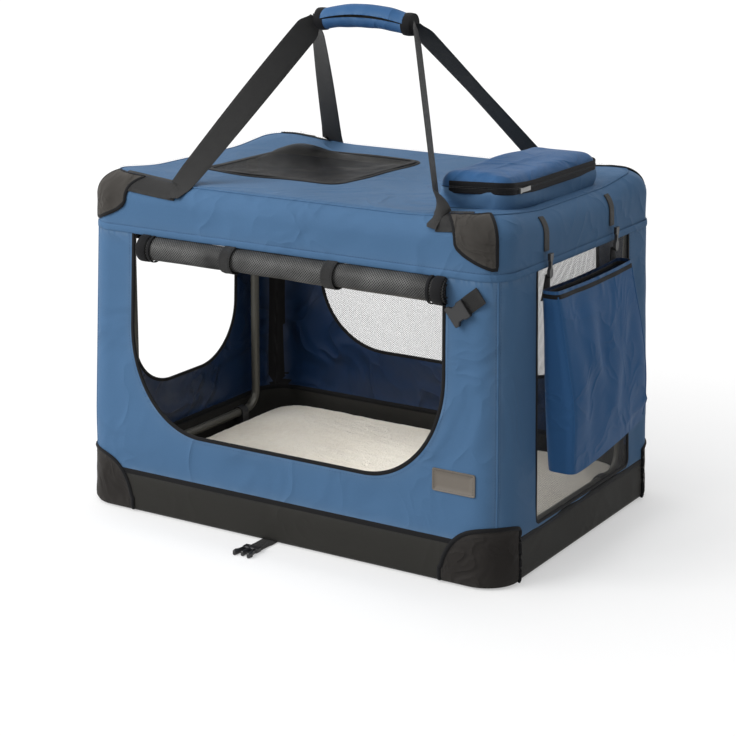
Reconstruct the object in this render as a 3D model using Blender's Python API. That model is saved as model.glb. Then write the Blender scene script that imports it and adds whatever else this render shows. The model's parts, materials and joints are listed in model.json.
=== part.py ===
"""Soft folding dog crate: steel tube frame, fabric shell, fleece mat, pockets and carrying handle.

Metres, +Z up. The origin is on the floor under the middle of the base. The long side runs along X,
the big front opening faces -Y, and the end with the hanging pocket faces +X.
"""
import math

import bmesh
import bpy
from mathutils import Vector

# Overall body of the crate
LENGTH = 0.700
WIDTH = 0.500
HEIGHT = 0.500

# Fabric shell
WALL_FABRIC = 0.0025
BASE_FABRIC = 0.003
PATCH_FABRIC = 0.0005
BASE_BAND_HEIGHT = 0.064
ROOF_BAND_DEPTH = 0.073
BASE_CORNER_RADIUS = 0.062
WALL_CORNER_RADIUS = 0.036
ROOF_CORNER_RADIUS = 0.052
ROOF_EDGE_RADIUS = 0.042
BASE_EDGE_RADIUS = 0.010
CORNER_BLEND_HEIGHT = 0.090

# Play between pieces
PIECE_GAP = 0.0003
SEAM_GAP = 0.0004
RUNNING_GAP = 0.0006
PASSING_GAP = 0.00015
ROOF_PATCH_GAP = 0.0007
OVERRUN = 0.012

# Openings in the walls
FRONT_DOOR_WIDTH = 0.524
FRONT_DOOR_SILL = 0.134
FRONT_DOOR_CORNER = 0.125
FRONT_DOOR_CORNER_RISE = 0.155
REAR_WINDOW_WIDTH = 0.508
REAR_WINDOW_SILL = 0.150
LEFT_DOOR_WIDTH = 0.270
LEFT_DOOR_SILL = 0.142
LEFT_DOOR_CORNER = 0.095
RIGHT_WINDOW_WIDTH = 0.300
RIGHT_WINDOW_SILL = 0.070
ROOF_WINDOW_LEFT = -0.250
ROOF_WINDOW_LENGTH = 0.245
ROOF_WINDOW_FRONT = -0.125
ROOF_WINDOW_WIDTH = 0.275
ROOF_WINDOW_CORNER = 0.020

# Nets
NET_THICKNESS = 0.0012
NET_STRAND = 0.0022
NET_PITCH = 0.042

# Steel tube frame
TUBE_RADIUS = 0.007
BASE_FRAME_INSET = 0.020
BASE_FRAME_CORNER = 0.045
ROOF_FRAME_CORNER = 0.040
END_FRAME_BEND = 0.030
END_FRAME_INSET = 0.020
RIGHT_LEG_REACH = 0.180
LEG_STAGGER = 0.018
LEG_HEADROOM = 0.0215
LEG_CAP_LENGTH = 0.012
LEG_CAP_WALL = 0.0012
BRACKET_WALL = 0.0025
BRACKET_WIDTH = 0.016
BRACKET_REACH = 0.118
RIVET_RADIUS = 0.003
RIVET_HEAD = 0.0016

# Snap channels that hold the legs under the roof frame
CHANNEL_WALL = 0.0022
CHANNEL_HEIGHT = 0.016
CHANNEL_PLAY = 0.0005
STEM_HEADROOM = 0.007
COLLAR_WIDTH = 0.014

# Floor
BOARD_THICKNESS = 0.004
BOARD_INSET_X = 0.034
BOARD_INSET_Y = 0.014
MAT_THICKNESS = 0.016
MAT_EDGE = 0.006
MAT_CROWN = 0.0015
MAT_CORNER = 0.040
LEG_ABOVE_MAT = 0.001


# Corner patches
BASE_PATCH_REACH = 0.082
BASE_PATCH_PEAK = 0.086
DOME_POWER = 2.6
DOME_LOW_SHARE = 0.1
ROOF_PATCH_REACH = 0.062
ROOF_PATCH_START = 0.004
ROOF_PATCH_TIP_SHARE = 0.42
ROOF_PATCH_WIDE_SHARE = 0.62

# Carrying handle
GRIP_LENGTH = 0.140
GRIP_RADIUS = 0.0155
GRIP_CORE_RADIUS = 0.010
GRIP_HEIGHT = 0.227
GRIP_OFFSET = -0.018
CUFF_LENGTH = 0.012
CUFF_RADIUS = 0.017
STRAP_WIDTH = 0.038
STRAP_THICKNESS = 0.0016
STRAP_FOOT = 0.240
STRAP_LIFT = 0.185
STRAP_STAND_OFF = 0.0005
STRAP_END_WIDTH = 0.018
STRAP_END_SPREAD = 0.008

# Roof bag
BAG_LEFT = 0.200
BAG_LENGTH = 0.108
BAG_FRONT = -0.168
BAG_WIDTH = 0.284
BAG_BODY_HEIGHT = 0.028
BAG_LID_HEIGHT = 0.016
BAG_CORNER = 0.020
BAG_FABRIC = 0.002
BAG_LID_ROUND = 0.012
ZIP_END = 0.034

# Zip sliders
SLIDER_LENGTH = 0.011
SLIDER_WIDTH = 0.008
SLIDER_HEIGHT = 0.005
PULL_LENGTH = 0.022
PULL_WIDTH = 0.006
PULL_THICKNESS = 0.0014

# Hanging side pocket
POCKET_CENTRE = -0.018
POCKET_WIDTH = 0.236
POCKET_HANG = 0.048
POCKET_FALL = 0.253
POCKET_DEPTH_TOP = 0.024
POCKET_DEPTH_LOW = 0.048
POCKET_FABRIC = 0.0022
POCKET_CORNER = 0.020
POCKET_STAND_OFF = 0.0035
POCKET_TRIM = 0.010
POCKET_TRIM_THICKNESS = 0.0014
LOOP_WIDTH = 0.015
LOOP_DROP = 0.054
LOOP_BOTTOM = HEIGHT - LOOP_DROP
POCKET_TOP = LOOP_BOTTOM - POCKET_HANG
POCKET_BOTTOM = POCKET_TOP - POCKET_FALL
LOOP_THICKNESS = 0.0016
LOOP_SPREAD = 0.106
HOOK_LENGTH = 0.034
HOOK_WIDTH = 0.010
HOOK_THICKNESS = 0.0045
TAB_WIDTH = 0.016

# Rolled doors
ROLL_RADIUS = 0.0185
ROLL_LENGTH = 0.500
LEFT_ROLL_LENGTH = 0.262
ROLL_STEP = 0.08
ROLL_TIE_WIDTH = 0.019
ROLL_TIE_THICKNESS = 0.0014
ROLL_TIE_REACH = 0.086

# Side-release buckle
BUCKLE_WIDTH = 0.031
BUCKLE_BODY = 0.029
BUCKLE_THICKNESS = 0.0075
BUCKLE_PRONG = 0.021
BUCKLE_PRONG_WIDTH = 0.0052
BUCKLE_SLOT = 0.0035
BUCKLE_EDGE = 0.0012
BUCKLE_STRAP_WIDTH = 0.025
CORNER_STRAP_LENGTH = 0.022
CORNER_STRAP_HEIGHT = 0.404
CORNER_STRAP_SLOPE = 38
FLOOR_STRAP_LENGTH = 0.032
FLOOR_STRAP_BEND = 0.011
FLOOR_STRAP_CENTRE = -0.018
FLOOR_STRAP_TUCK = 0.007

# Derived heights and places
HALF_X = LENGTH / 2
HALF_Y = WIDTH / 2
SEAM_HEIGHT = HEIGHT - ROOF_BAND_DEPTH
BASE_TUBE_HEIGHT = BASE_FABRIC + PIECE_GAP + BRACKET_WALL + PIECE_GAP + TUBE_RADIUS
BOARD_BOTTOM = BASE_TUBE_HEIGHT + TUBE_RADIUS + PIECE_GAP
BOARD_TOP = BOARD_BOTTOM + BOARD_THICKNESS
MAT_BOTTOM = BOARD_TOP + PIECE_GAP
MAT_TOP = MAT_BOTTOM + MAT_THICKNESS
PIVOT_HEIGHT = MAT_TOP + LEG_ABOVE_MAT + TUBE_RADIUS + LEG_CAP_WALL
PIVOT_X = HALF_X - END_FRAME_INSET
BASE_RAIL_X = HALF_X - BASE_FRAME_INSET
BASE_RAIL_Y = HALF_Y - BASE_FRAME_INSET
COLLAR_RADIUS = TUBE_RADIUS + PIECE_GAP + CHANNEL_WALL
RAIL_REACH = (ROOF_EDGE_RADIUS - WALL_FABRIC - COLLAR_RADIUS - RUNNING_GAP) * math.sqrt(0.5)
ROOF_RAIL_X = HALF_X - ROOF_EDGE_RADIUS + RAIL_REACH
ROOF_RAIL_Y = HALF_Y - ROOF_EDGE_RADIUS + RAIL_REACH
ROOF_RAIL_HEIGHT = HEIGHT - ROOF_EDGE_RADIUS + RAIL_REACH
LEG_TOP = ROOF_RAIL_HEIGHT - TUBE_RADIUS - LEG_HEADROOM
LEFT_LEG_REACH = RIGHT_LEG_REACH - LEG_STAGGER

# Smoothness
ARC_STEPS = 5
STRAP_TWIST_STEPS = 20
FINE_STEPS = 8
PLAN_STEPS = 10
PATCH_STEPS = 4
STRAIGHT_STEPS = 2


def clear_scene():
    """Remove every object, so the script can be run again."""
    for item in list(bpy.data.objects):
        bpy.data.objects.remove(item, do_unlink=True)


def make_material(name, colour, roughness, metallic=0.0):
    """Principled material of one colour."""
    material = bpy.data.materials.new(name)
    material.use_nodes = True
    shader = material.node_tree.nodes["Principled BSDF"]
    shader.inputs["Base Color"].default_value = (*colour, 1.0)
    shader.inputs["Roughness"].default_value = roughness
    shader.inputs["Metallic"].default_value = metallic
    return material


def add_empty(name, place, parent=None):
    """Empty at a world place, on the joint axis of the pieces under it."""
    empty = bpy.data.objects.new(name, None)
    bpy.context.collection.objects.link(empty)
    attach(empty, place, parent)
    return empty


def attach(item, place, parent):
    """Put an object's origin at a world place, under its parent."""
    base = Vector(parent["place"]) if parent else Vector((0.0, 0.0, 0.0))
    item["place"] = list(place)
    item.location = Vector(place) - base
    item.parent = parent


def finish_mesh(name, mesh, material, place, parent, smooth_angle):
    """Wrap a mesh as a named object with its origin at a world place."""
    mesh.transform(matrix_to(place))
    mesh.materials.append(material)
    if smooth_angle is not None:
        mesh.shade_smooth()
        mesh.set_sharp_from_angle(angle=math.radians(smooth_angle))
    item = bpy.data.objects.new(name, mesh)
    bpy.context.collection.objects.link(item)
    attach(item, place, parent)
    return item


def matrix_to(place):
    """Shift that brings world points into an object's own frame."""
    from mathutils import Matrix
    return Matrix.Translation(-Vector(place))


def from_bmesh(name, work, material, place, parent, smooth_angle=40):
    """Close a bmesh into an object, faces outward."""
    bmesh.ops.recalc_face_normals(work, faces=work.faces)
    if work.calc_volume(signed=True) < 0:
        bmesh.ops.reverse_faces(work, faces=work.faces)
    mesh = bpy.data.meshes.new(name)
    work.to_mesh(mesh)
    work.free()
    return finish_mesh(name, mesh, material, place, parent, smooth_angle)


def loft_into(work, rings, capped=True):
    """Bridge equal rings of points one after another and cap the two ends."""
    rows = [[work.verts.new(point) for point in ring] for ring in rings]
    count = len(rows[0])
    for lower, upper in zip(rows, rows[1:]):
        for index in range(count):
            after = (index + 1) % count
            work.faces.new((lower[index], lower[after], upper[after], upper[index]))
    if capped:
        work.faces.new(rows[0])
        work.faces.new(rows[-1])
    else:
        for index in range(count):
            after = (index + 1) % count
            work.faces.new((rows[-1][index], rows[-1][after], rows[0][after], rows[0][index]))


def loft(name, rings, material, place, parent=None, smooth_angle=40, capped=True):
    """Closed solid through a list of rings."""
    work = bmesh.new()
    loft_into(work, rings, capped)
    return from_bmesh(name, work, material, place, parent, smooth_angle)


def prism_into(work, outline, start, along, across, up, depth):
    """Extrude a flat outline: across and up span it, along is the way it is pushed."""
    corners = [start + across * u + up * v for u, v in outline]
    lower = [work.verts.new(point) for point in corners]
    face = work.faces.new(lower)
    pushed = bmesh.ops.extrude_face_region(work, geom=[face])
    moved = [item for item in pushed["geom"] if isinstance(item, bmesh.types.BMVert)]
    bmesh.ops.translate(work, verts=moved, vec=along * depth)


def prism(name, outline, start, axes, depth, material, place, parent=None, bevel=0.0, smooth_angle=40):
    """Solid made by extruding a flat outline, with an optional bevel on its rim edges."""
    work = bmesh.new()
    across, up, along = (Vector(axis) for axis in axes)
    prism_into(work, outline, Vector(start), along, across, up, depth)
    if bevel > 0:
        rim = [edge for edge in work.edges if edge.is_manifold and edge.calc_face_angle() > math.radians(60)]
        bmesh.ops.bevel(work, geom=rim, offset=bevel, segments=1, affect="EDGES", clamp_overlap=True)
    return from_bmesh(name, work, material, place, parent, smooth_angle)


def tube(name, points, radius, material, place, parent=None, cyclic=False, sides_step=4):
    """Round tube along points, a curve with a bevel and filled caps."""
    curve = bpy.data.curves.new(name, "CURVE")
    curve.dimensions = "3D"
    curve.bevel_depth = radius
    curve.bevel_resolution = sides_step
    curve.use_fill_caps = True
    spline = curve.splines.new("POLY")
    spline.points.add(len(points) - 1)
    for node, point in zip(spline.points, points):
        node.co = (*(Vector(point) - Vector(place)), 1.0)
    spline.use_cyclic_u = cyclic
    spline.use_smooth = True
    curve.materials.append(material)
    item = bpy.data.objects.new(name, curve)
    bpy.context.collection.objects.link(item)
    attach(item, place, parent)
    return item


def cut(item, cutter):
    """Take a cutter's volume out of an object and hide the cutter."""
    boolean = item.modifiers.new("cut", "BOOLEAN")
    boolean.operation = "DIFFERENCE"
    boolean.object = cutter
    cutter.hide_render = True
    cutter.display_type = "WIRE"


def join_by_union(item, other):
    """Fuse another solid into an object; the other becomes a guide."""
    boolean = item.modifiers.new("fuse", "BOOLEAN")
    boolean.operation = "UNION"
    boolean.object = other
    other.hide_render = True
    other.display_type = "WIRE"


def rounded_rectangle(half_u, half_v, radius, steps=ARC_STEPS):
    """Outline of a rectangle with round corners, counter-clockwise from the lower right."""
    outline = []
    for sign_u, sign_v, turn in ((1, -1, -90), (1, 1, 0), (-1, 1, 90), (-1, -1, 180)):
        centre_u = sign_u * (half_u - radius)
        centre_v = sign_v * (half_v - radius)
        for index in range(steps + 1):
            angle = math.radians(turn + 90 * index / steps)
            outline.append((centre_u + radius * math.cos(angle), centre_v + radius * math.sin(angle)))
    return outline


def plan_ring(half_x, half_y, radius, height, steps=ARC_STEPS):
    """Rounded rectangle ring at one height."""
    return [(u, v, height) for u, v in rounded_rectangle(half_x, half_y, radius, steps)]


def shell_radius(height):
    """Plan corner radius of the shell: wide at the base, tighter up the walls."""
    share = (height - BASE_BAND_HEIGHT) / CORNER_BLEND_HEIGHT
    share = min(max(share, 0.0), 1.0)
    share = share * share * (3 - 2 * share)
    return BASE_CORNER_RADIUS + (WALL_CORNER_RADIUS - BASE_CORNER_RADIUS) * share


def base_inset(height):
    """How far the lower edge of the base is drawn in at a height."""
    if height >= BASE_EDGE_RADIUS:
        return 0.0
    rise = BASE_EDGE_RADIUS - height
    return BASE_EDGE_RADIUS - math.sqrt(max(BASE_EDGE_RADIUS ** 2 - rise ** 2, 0.0))


def corner_point(sign_x, sign_y, half_x, half_y, radius, run, outset):
    """Point on a rounded plan outline, a run along it from the corner's middle.

    A positive run goes round towards the long side, a negative one towards the end.
    """
    half_arc = radius * math.pi / 4
    on_arc = min(max(run, -half_arc), half_arc)
    angle = math.pi / 4 + on_arc / radius
    past = run - on_arc
    point_x = half_x - radius + (radius + outset) * math.cos(angle)
    point_y = half_y - radius + (radius + outset) * math.sin(angle)
    if past > 0:
        point_x -= past
    else:
        point_y += past
    return sign_x * point_x, sign_y * point_y


def run_stations(start, reach, half_arc):
    """Runs from a start to a reach, fine round the corner's arc and wide on the straight past it."""
    bend = min(reach, half_arc)
    runs = [start + (bend - start) * step / ARC_STEPS for step in range(ARC_STEPS + 1)]
    if reach > half_arc:
        return runs + [half_arc + (reach - half_arc) * step / STRAIGHT_STEPS for step in range(1, STRAIGHT_STEPS + 1)]
    count = ARC_STEPS + STRAIGHT_STEPS
    return [start + (reach - start) * step / count for step in range(count + 1)]


def grid_solid(name, outer, inner, material, place, parent=None, smooth_angle=40):
    """Thin closed solid between two grids of points, stitched all round."""
    work = bmesh.new()
    rows = len(outer)
    columns = len(outer[0])
    front = [[work.verts.new(point) for point in row] for row in outer]
    back = [[work.verts.new(point) for point in row] for row in inner]
    for i in range(rows - 1):
        for j in range(columns - 1):
            work.faces.new((front[i][j], front[i][j + 1], front[i + 1][j + 1], front[i + 1][j]))
            work.faces.new((back[i][j], back[i + 1][j], back[i + 1][j + 1], back[i][j + 1]))
    rim = [(0, j) for j in range(columns)] + [(i, columns - 1) for i in range(1, rows)]
    rim += [(rows - 1, j) for j in range(columns - 2, -1, -1)] + [(i, 0) for i in range(rows - 2, 0, -1)]
    for (i, j), (k, m) in zip(rim, rim[1:] + rim[:1]):
        work.faces.new((front[i][j], front[k][m], back[k][m], back[i][j]))
    return from_bmesh(name, work, material, place, parent, smooth_angle)


def wall_run(side, height, outset):
    """Points of one wall at one height, from corner seam to corner seam."""
    radius = shell_radius(height)
    gap_angle = math.asin(SEAM_GAP / 2 / radius)
    points = []
    starts = {"front": (-1, -1, 1), "rear": (1, 1, 1), "right": (1, -1, -1), "left": (-1, 1, -1)}
    sign_x, sign_y, way = starts[side]
    for step in range(ARC_STEPS + 1):
        angle = gap_angle + (math.pi / 4 - gap_angle) * step / ARC_STEPS
        points.append(corner_point(sign_x, sign_y, HALF_X, HALF_Y, radius, way * radius * angle, outset))
    if side in ("front", "rear"):
        sign_x = -sign_x
    else:
        sign_y = -sign_y
    for step in range(ARC_STEPS, -1, -1):
        angle = gap_angle + (math.pi / 4 - gap_angle) * step / ARC_STEPS
        points.append(corner_point(sign_x, sign_y, HALF_X, HALF_Y, radius, way * radius * angle, outset))
    return [(u, v, height) for u, v in points]


def wall_panel(name, side, material):
    """One fabric wall from the base band up to the roof band."""
    low = BASE_BAND_HEIGHT + PIECE_GAP
    high = SEAM_HEIGHT - PIECE_GAP
    heights = [low + CORNER_BLEND_HEIGHT * step / ARC_STEPS for step in range(ARC_STEPS + 1)] + [high]
    outer = [wall_run(side, height, 0.0) for height in heights]
    inner = [wall_run(side, height, -WALL_FABRIC) for height in heights]
    return grid_solid(name, outer, inner, material, (0.0, 0.0, low))


def door_outline(width, sill, corner, rise, top):
    """Opening with a flat sill and big round lower corners, open to the top."""
    half = width / 2
    outline = [(half, top), (-half, top)]
    for step in range(FINE_STEPS + 1):
        angle = math.pi / 2 * step / FINE_STEPS
        outline.append((-half + corner * (1 - math.cos(angle)), sill + rise * (1 - math.sin(angle))))
    for step in range(FINE_STEPS + 1):
        angle = math.pi / 2 * (1 - step / FINE_STEPS)
        outline.append((half - corner * (1 - math.cos(angle)), sill + rise * (1 - math.sin(angle))))
    return outline


def wall_cutter(name, outline, side, material):
    """Cutter that goes through one wall."""
    depth = WALL_FABRIC + 2 * OVERRUN
    if side in ("front", "rear"):
        axes = ((1, 0, 0), (0, 0, 1), (0, 1, 0))
        reach = -HALF_Y - OVERRUN if side == "front" else HALF_Y - WALL_FABRIC - OVERRUN
        start = (0.0, reach, 0.0)
    else:
        axes = ((0, 1, 0), (0, 0, 1), (1, 0, 0))
        reach = -HALF_X - OVERRUN if side == "left" else HALF_X - WALL_FABRIC - OVERRUN
        start = (reach, 0.0, 0.0)
    return prism(name, outline, start, axes, depth, material, (0.0, 0.0, 0.0))


def net_cells(low, high, pitch):
    """Even cell borders between two ends, near a wanted pitch."""
    count = max(2, round((high - low) / pitch))
    return [low + (high - low) * step / count for step in range(count + 1)]


def net_grid(name, lows, highs, place_point, material, place, parent=None):
    """Flat net: a grid whose cells are opened, leaving square strands of an even thickness."""
    work = bmesh.new()
    borders_u = net_cells(lows[0], highs[0], NET_PITCH)
    borders_v = net_cells(lows[1], highs[1], NET_PITCH)
    grid = [[work.verts.new(place_point(u, v)) for v in borders_v] for u in borders_u]
    for i in range(len(borders_u) - 1):
        for j in range(len(borders_v) - 1):
            work.faces.new((grid[i][j], grid[i + 1][j], grid[i + 1][j + 1], grid[i][j + 1]))
    work.normal_update()
    cells = list(work.faces)
    bmesh.ops.inset_individual(work, faces=cells, thickness=NET_STRAND / 2, use_even_offset=True)
    bmesh.ops.delete(work, geom=cells, context="FACES")
    net = from_bmesh(name, work, material, place, parent, smooth_angle=None)
    weave = net.modifiers.new("strands", "SOLIDIFY")
    weave.thickness = NET_THICKNESS
    weave.offset = 0.0
    return net


def ribbon(name, path, normals, widths, thickness, material, place, parent=None):
    """Flat strap along a path; each point has the direction that its outer face looks in."""
    rings = []
    for index, point in enumerate(path):
        before = Vector(path[max(index - 1, 0)])
        after = Vector(path[min(index + 1, len(path) - 1)])
        tangent = (after - before).normalized()
        across = tangent.cross(Vector(normals[index])).normalized()
        out = across.cross(tangent).normalized()
        centre = Vector(point)
        side = across * (widths[index] / 2)
        lift = out * (thickness / 2)
        rings.append([centre + side + lift, centre - side + lift, centre - side - lift, centre + side - lift])
    return loft(name, rings, material, place, parent, smooth_angle=50)


def blend(first, second, share):
    """Point between two points."""
    return tuple(a + (b - a) * share for a, b in zip(first, second))


MATERIALS = {}


def make_materials():
    """The finishes of the crate, by slot name."""
    MATERIALS["blue_fabric"] = make_material("blue_fabric", (0.045, 0.125, 0.300), 0.62)
    MATERIALS["black_fabric"] = make_material("black_fabric", (0.020, 0.020, 0.022), 0.60)
    MATERIALS["patch_fabric"] = make_material("patch_fabric", (0.050, 0.048, 0.046), 0.66)
    MATERIALS["webbing"] = make_material("webbing", (0.018, 0.018, 0.020), 0.72)
    MATERIALS["net"] = make_material("net", (0.030, 0.030, 0.032), 0.70)
    MATERIALS["fleece"] = make_material("fleece", (0.780, 0.700, 0.580), 0.95)
    MATERIALS["board"] = make_material("board", (0.120, 0.100, 0.080), 0.85)
    MATERIALS["steel_tube"] = make_material("steel_tube", (0.070, 0.072, 0.068), 0.38, 0.75)
    MATERIALS["black_plastic"] = make_material("black_plastic", (0.016, 0.016, 0.017), 0.42)
    MATERIALS["zinc"] = make_material("zinc", (0.520, 0.520, 0.500), 0.30, 1.0)


# Base


def build_base_tray():
    """Black tray: floor sheet and standing band with a rounded lower edge."""
    rings = []
    for step in range(ARC_STEPS):
        height = BASE_EDGE_RADIUS * (1 - math.cos(math.pi / 2 * step / ARC_STEPS))
        drawn = base_inset(height)
        rings.append(plan_ring(HALF_X - drawn, HALF_Y - drawn, BASE_CORNER_RADIUS - drawn, height, PLAN_STEPS))
    rings.append(plan_ring(HALF_X, HALF_Y, BASE_CORNER_RADIUS, BASE_EDGE_RADIUS, PLAN_STEPS))
    rings.append(plan_ring(HALF_X, HALF_Y, BASE_CORNER_RADIUS, BASE_BAND_HEIGHT, PLAN_STEPS))
    inner_x = HALF_X - BASE_FABRIC
    inner_y = HALF_Y - BASE_FABRIC
    inner_radius = BASE_CORNER_RADIUS - BASE_FABRIC
    rings.append(plan_ring(inner_x, inner_y, inner_radius, BASE_BAND_HEIGHT, PLAN_STEPS))
    rings.append(plan_ring(inner_x, inner_y, inner_radius, BASE_EDGE_RADIUS, PLAN_STEPS))
    drawn = BASE_EDGE_RADIUS - BASE_FABRIC
    rings.append(plan_ring(inner_x - drawn, inner_y - drawn, inner_radius - drawn, BASE_FABRIC, PLAN_STEPS))
    tray = loft("base_tray", rings, MATERIALS["black_fabric"], (0.0, 0.0, 0.0))
    join_by_union(tray, floor_strap_root())


def floor_strap_root():
    """Sewn end of the floor strap, flat under the rounded edge of the tray."""
    half = BUCKLE_STRAP_WIDTH / 2
    tuck_y = -HALF_Y + FLOOR_STRAP_TUCK
    length = FLOOR_STRAP_TUCK + FLOOR_STRAP_BEND
    outline = [(-half, 0.0), (half, 0.0), (half, length), (-half, length)]
    start = (FLOOR_STRAP_CENTRE, tuck_y, PIECE_GAP)
    return prism("floor_strap_root", outline, start, ((1, 0, 0), (0, -1, 0), (0, 0, 1)), STRAP_THICKNESS,
                 MATERIALS["webbing"], start)


def build_base_frame():
    """Closed rectangle of steel tube that lies in the tray."""
    ring = plan_ring(BASE_RAIL_X, BASE_RAIL_Y, BASE_FRAME_CORNER, BASE_TUBE_HEIGHT)
    tube("base_frame", ring, TUBE_RADIUS, MATERIALS["steel_tube"], (0.0, 0.0, BASE_TUBE_HEIGHT), cyclic=True)


def build_floor():
    """Stiff board on the long rails, and the fleece mat with its crown and drawn-in sides."""
    half_x = HALF_X - BOARD_INSET_X
    half_y = HALF_Y - BOARD_INSET_Y
    rings = [plan_ring(half_x, half_y, MAT_CORNER, height) for height in (BOARD_BOTTOM, BOARD_TOP)]
    loft("base_board", rings, MATERIALS["board"], (0.0, 0.0, BOARD_BOTTOM))
    rings = []
    mat_x = half_x
    mat_y = half_y
    for step in range(2 * ARC_STEPS + 1):
        angle = math.pi * step / (2 * ARC_STEPS)
        drawn = MAT_EDGE * (1 - math.sin(angle))
        height = MAT_BOTTOM + MAT_THICKNESS * (1 - math.cos(angle)) / 2
        lift = -MAT_CROWN if step == 2 * ARC_STEPS else 0.0
        rings.append(plan_ring(mat_x - drawn, mat_y - drawn, MAT_CORNER - drawn, height + lift))
    inner = MAT_CORNER
    rings.append(plan_ring(mat_x - inner, mat_y - inner, MAT_CORNER / 2, MAT_TOP))
    loft("mattress", rings, MATERIALS["fleece"], (0.0, 0.0, MAT_BOTTOM))


def bracket_outline():
    """Slot-shaped outline round the base rail and the turning tube above it."""
    radius = TUBE_RADIUS + PIECE_GAP + BRACKET_WALL
    outline = []
    for step in range(FINE_STEPS + 1):
        angle = math.pi * step / FINE_STEPS
        outline.append((radius * math.cos(angle), PIVOT_HEIGHT + radius * math.sin(angle)))
    for step in range(FINE_STEPS + 1):
        angle = math.pi + math.pi * step / FINE_STEPS
        outline.append((radius * math.cos(angle), BASE_TUBE_HEIGHT + radius * math.sin(angle)))
    return outline


def round_cutter(name, centre, axis, radius, length, place):
    """Cylinder cutter along Y or X, centred on a point."""
    work = bmesh.new()
    outline = []
    for step in range(4 * ARC_STEPS):
        angle = math.tau * step / (4 * ARC_STEPS)
        outline.append((radius * math.cos(angle), radius * math.sin(angle)))
    along = Vector(axis)
    across = Vector((0.0, 0.0, 1.0)).cross(along)
    start = Vector(centre) - along * (length / 2)
    prism_into(work, outline, start, along, across, Vector((0.0, 0.0, 1.0)), length)
    return from_bmesh(name, work, MATERIALS["steel_tube"], place, None)


def build_brackets():
    """Double clamps: each holds the base rail and is the bearing of an end frame."""
    bearing = (TUBE_RADIUS + PIECE_GAP) / math.cos(math.pi / (4 * ARC_STEPS))
    for side, sign_x in (("left", -1), ("right", 1)):
        for end, sign_y in (("front", -1), ("rear", 1)):
            name = "bracket_" + side + "_" + end
            centre_y = sign_y * BRACKET_REACH
            start = (sign_x * PIVOT_X, centre_y - BRACKET_WIDTH / 2, 0.0)
            axes = ((1, 0, 0), (0, 0, 1), (0, 1, 0))
            place = (sign_x * PIVOT_X, centre_y, PIVOT_HEIGHT)
            clamp = prism(name, bracket_outline(), start, axes, BRACKET_WIDTH, MATERIALS["black_plastic"], place)
            for label, height in (("_pivot_bore", PIVOT_HEIGHT), ("_rail_bore", BASE_TUBE_HEIGHT)):
                centre = (sign_x * PIVOT_X, centre_y, height)
                length = BRACKET_WIDTH + 2 * OVERRUN
                cut(clamp, round_cutter(name + label, centre, (0, 1, 0), bearing, length, centre))
            join_by_union(clamp, rivet_head(name + "_rivet", sign_x, centre_y))


def rivet_head(name, sign_x, centre_y):
    """Round rivet head on the cabin side of a clamp."""
    height = (PIVOT_HEIGHT + BASE_TUBE_HEIGHT) / 2
    face = PIVOT_X - (TUBE_RADIUS + PIECE_GAP + BRACKET_WALL)
    rings = []
    for radius_share, lift_share in ((1.0, -0.5), (1.0, 0.5), (0.6, 1.0)):
        ring = []
        for step in range(2 * ARC_STEPS):
            angle = math.tau * step / (2 * ARC_STEPS)
            radius = RIVET_RADIUS * radius_share
            ring.append((sign_x * (face - RIVET_HEAD * lift_share),
                         centre_y + radius * math.cos(angle), height + radius * math.sin(angle)))
        rings.append(ring)
    return loft(name, rings, MATERIALS["black_plastic"], (0.0, 0.0, height))


def build_base_patches():
    """Domed corner patches sewn over the base band."""
    for end, sign_y in (("front", -1), ("rear", 1)):
        for side, sign_x in (("left", -1), ("right", 1)):
            outer = []
            inner = []
            base_arc = BASE_CORNER_RADIUS * math.pi / 4
            base_runs = run_stations(0.0, BASE_PATCH_REACH, base_arc)
            for turn in [-index for index in range(len(base_runs) - 1, 0, -1)] + list(range(len(base_runs))):
                share = base_runs[abs(turn)] / BASE_PATCH_REACH
                dome = math.sqrt(max(1 - share ** DOME_POWER, DOME_LOW_SHARE))
                top = BASE_PATCH_PEAK * dome
                row_outer = []
                row_inner = []
                for level in range(PATCH_STEPS + 1):
                    height = BASE_EDGE_RADIUS + (top - BASE_EDGE_RADIUS) * level / PATCH_STEPS
                    radius = shell_radius(height)
                    run = run_stations(0.0, BASE_PATCH_REACH, radius * math.pi / 4)[abs(turn)]
                    run = math.copysign(run, turn)
                    for row, outset in ((row_outer, PIECE_GAP + PATCH_FABRIC), (row_inner, PIECE_GAP)):
                        point = corner_point(sign_x, sign_y, HALF_X, HALF_Y, radius, run, outset)
                        row.append((*point, height))
                outer.append(row_outer)
                inner.append(row_inner)
            name = "base_patch_" + end + "_" + side
            place = (sign_x * HALF_X, sign_y * HALF_Y, 0.0)
            grid_solid(name, outer, inner, MATERIALS["patch_fabric"], place)


# Walls


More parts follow.
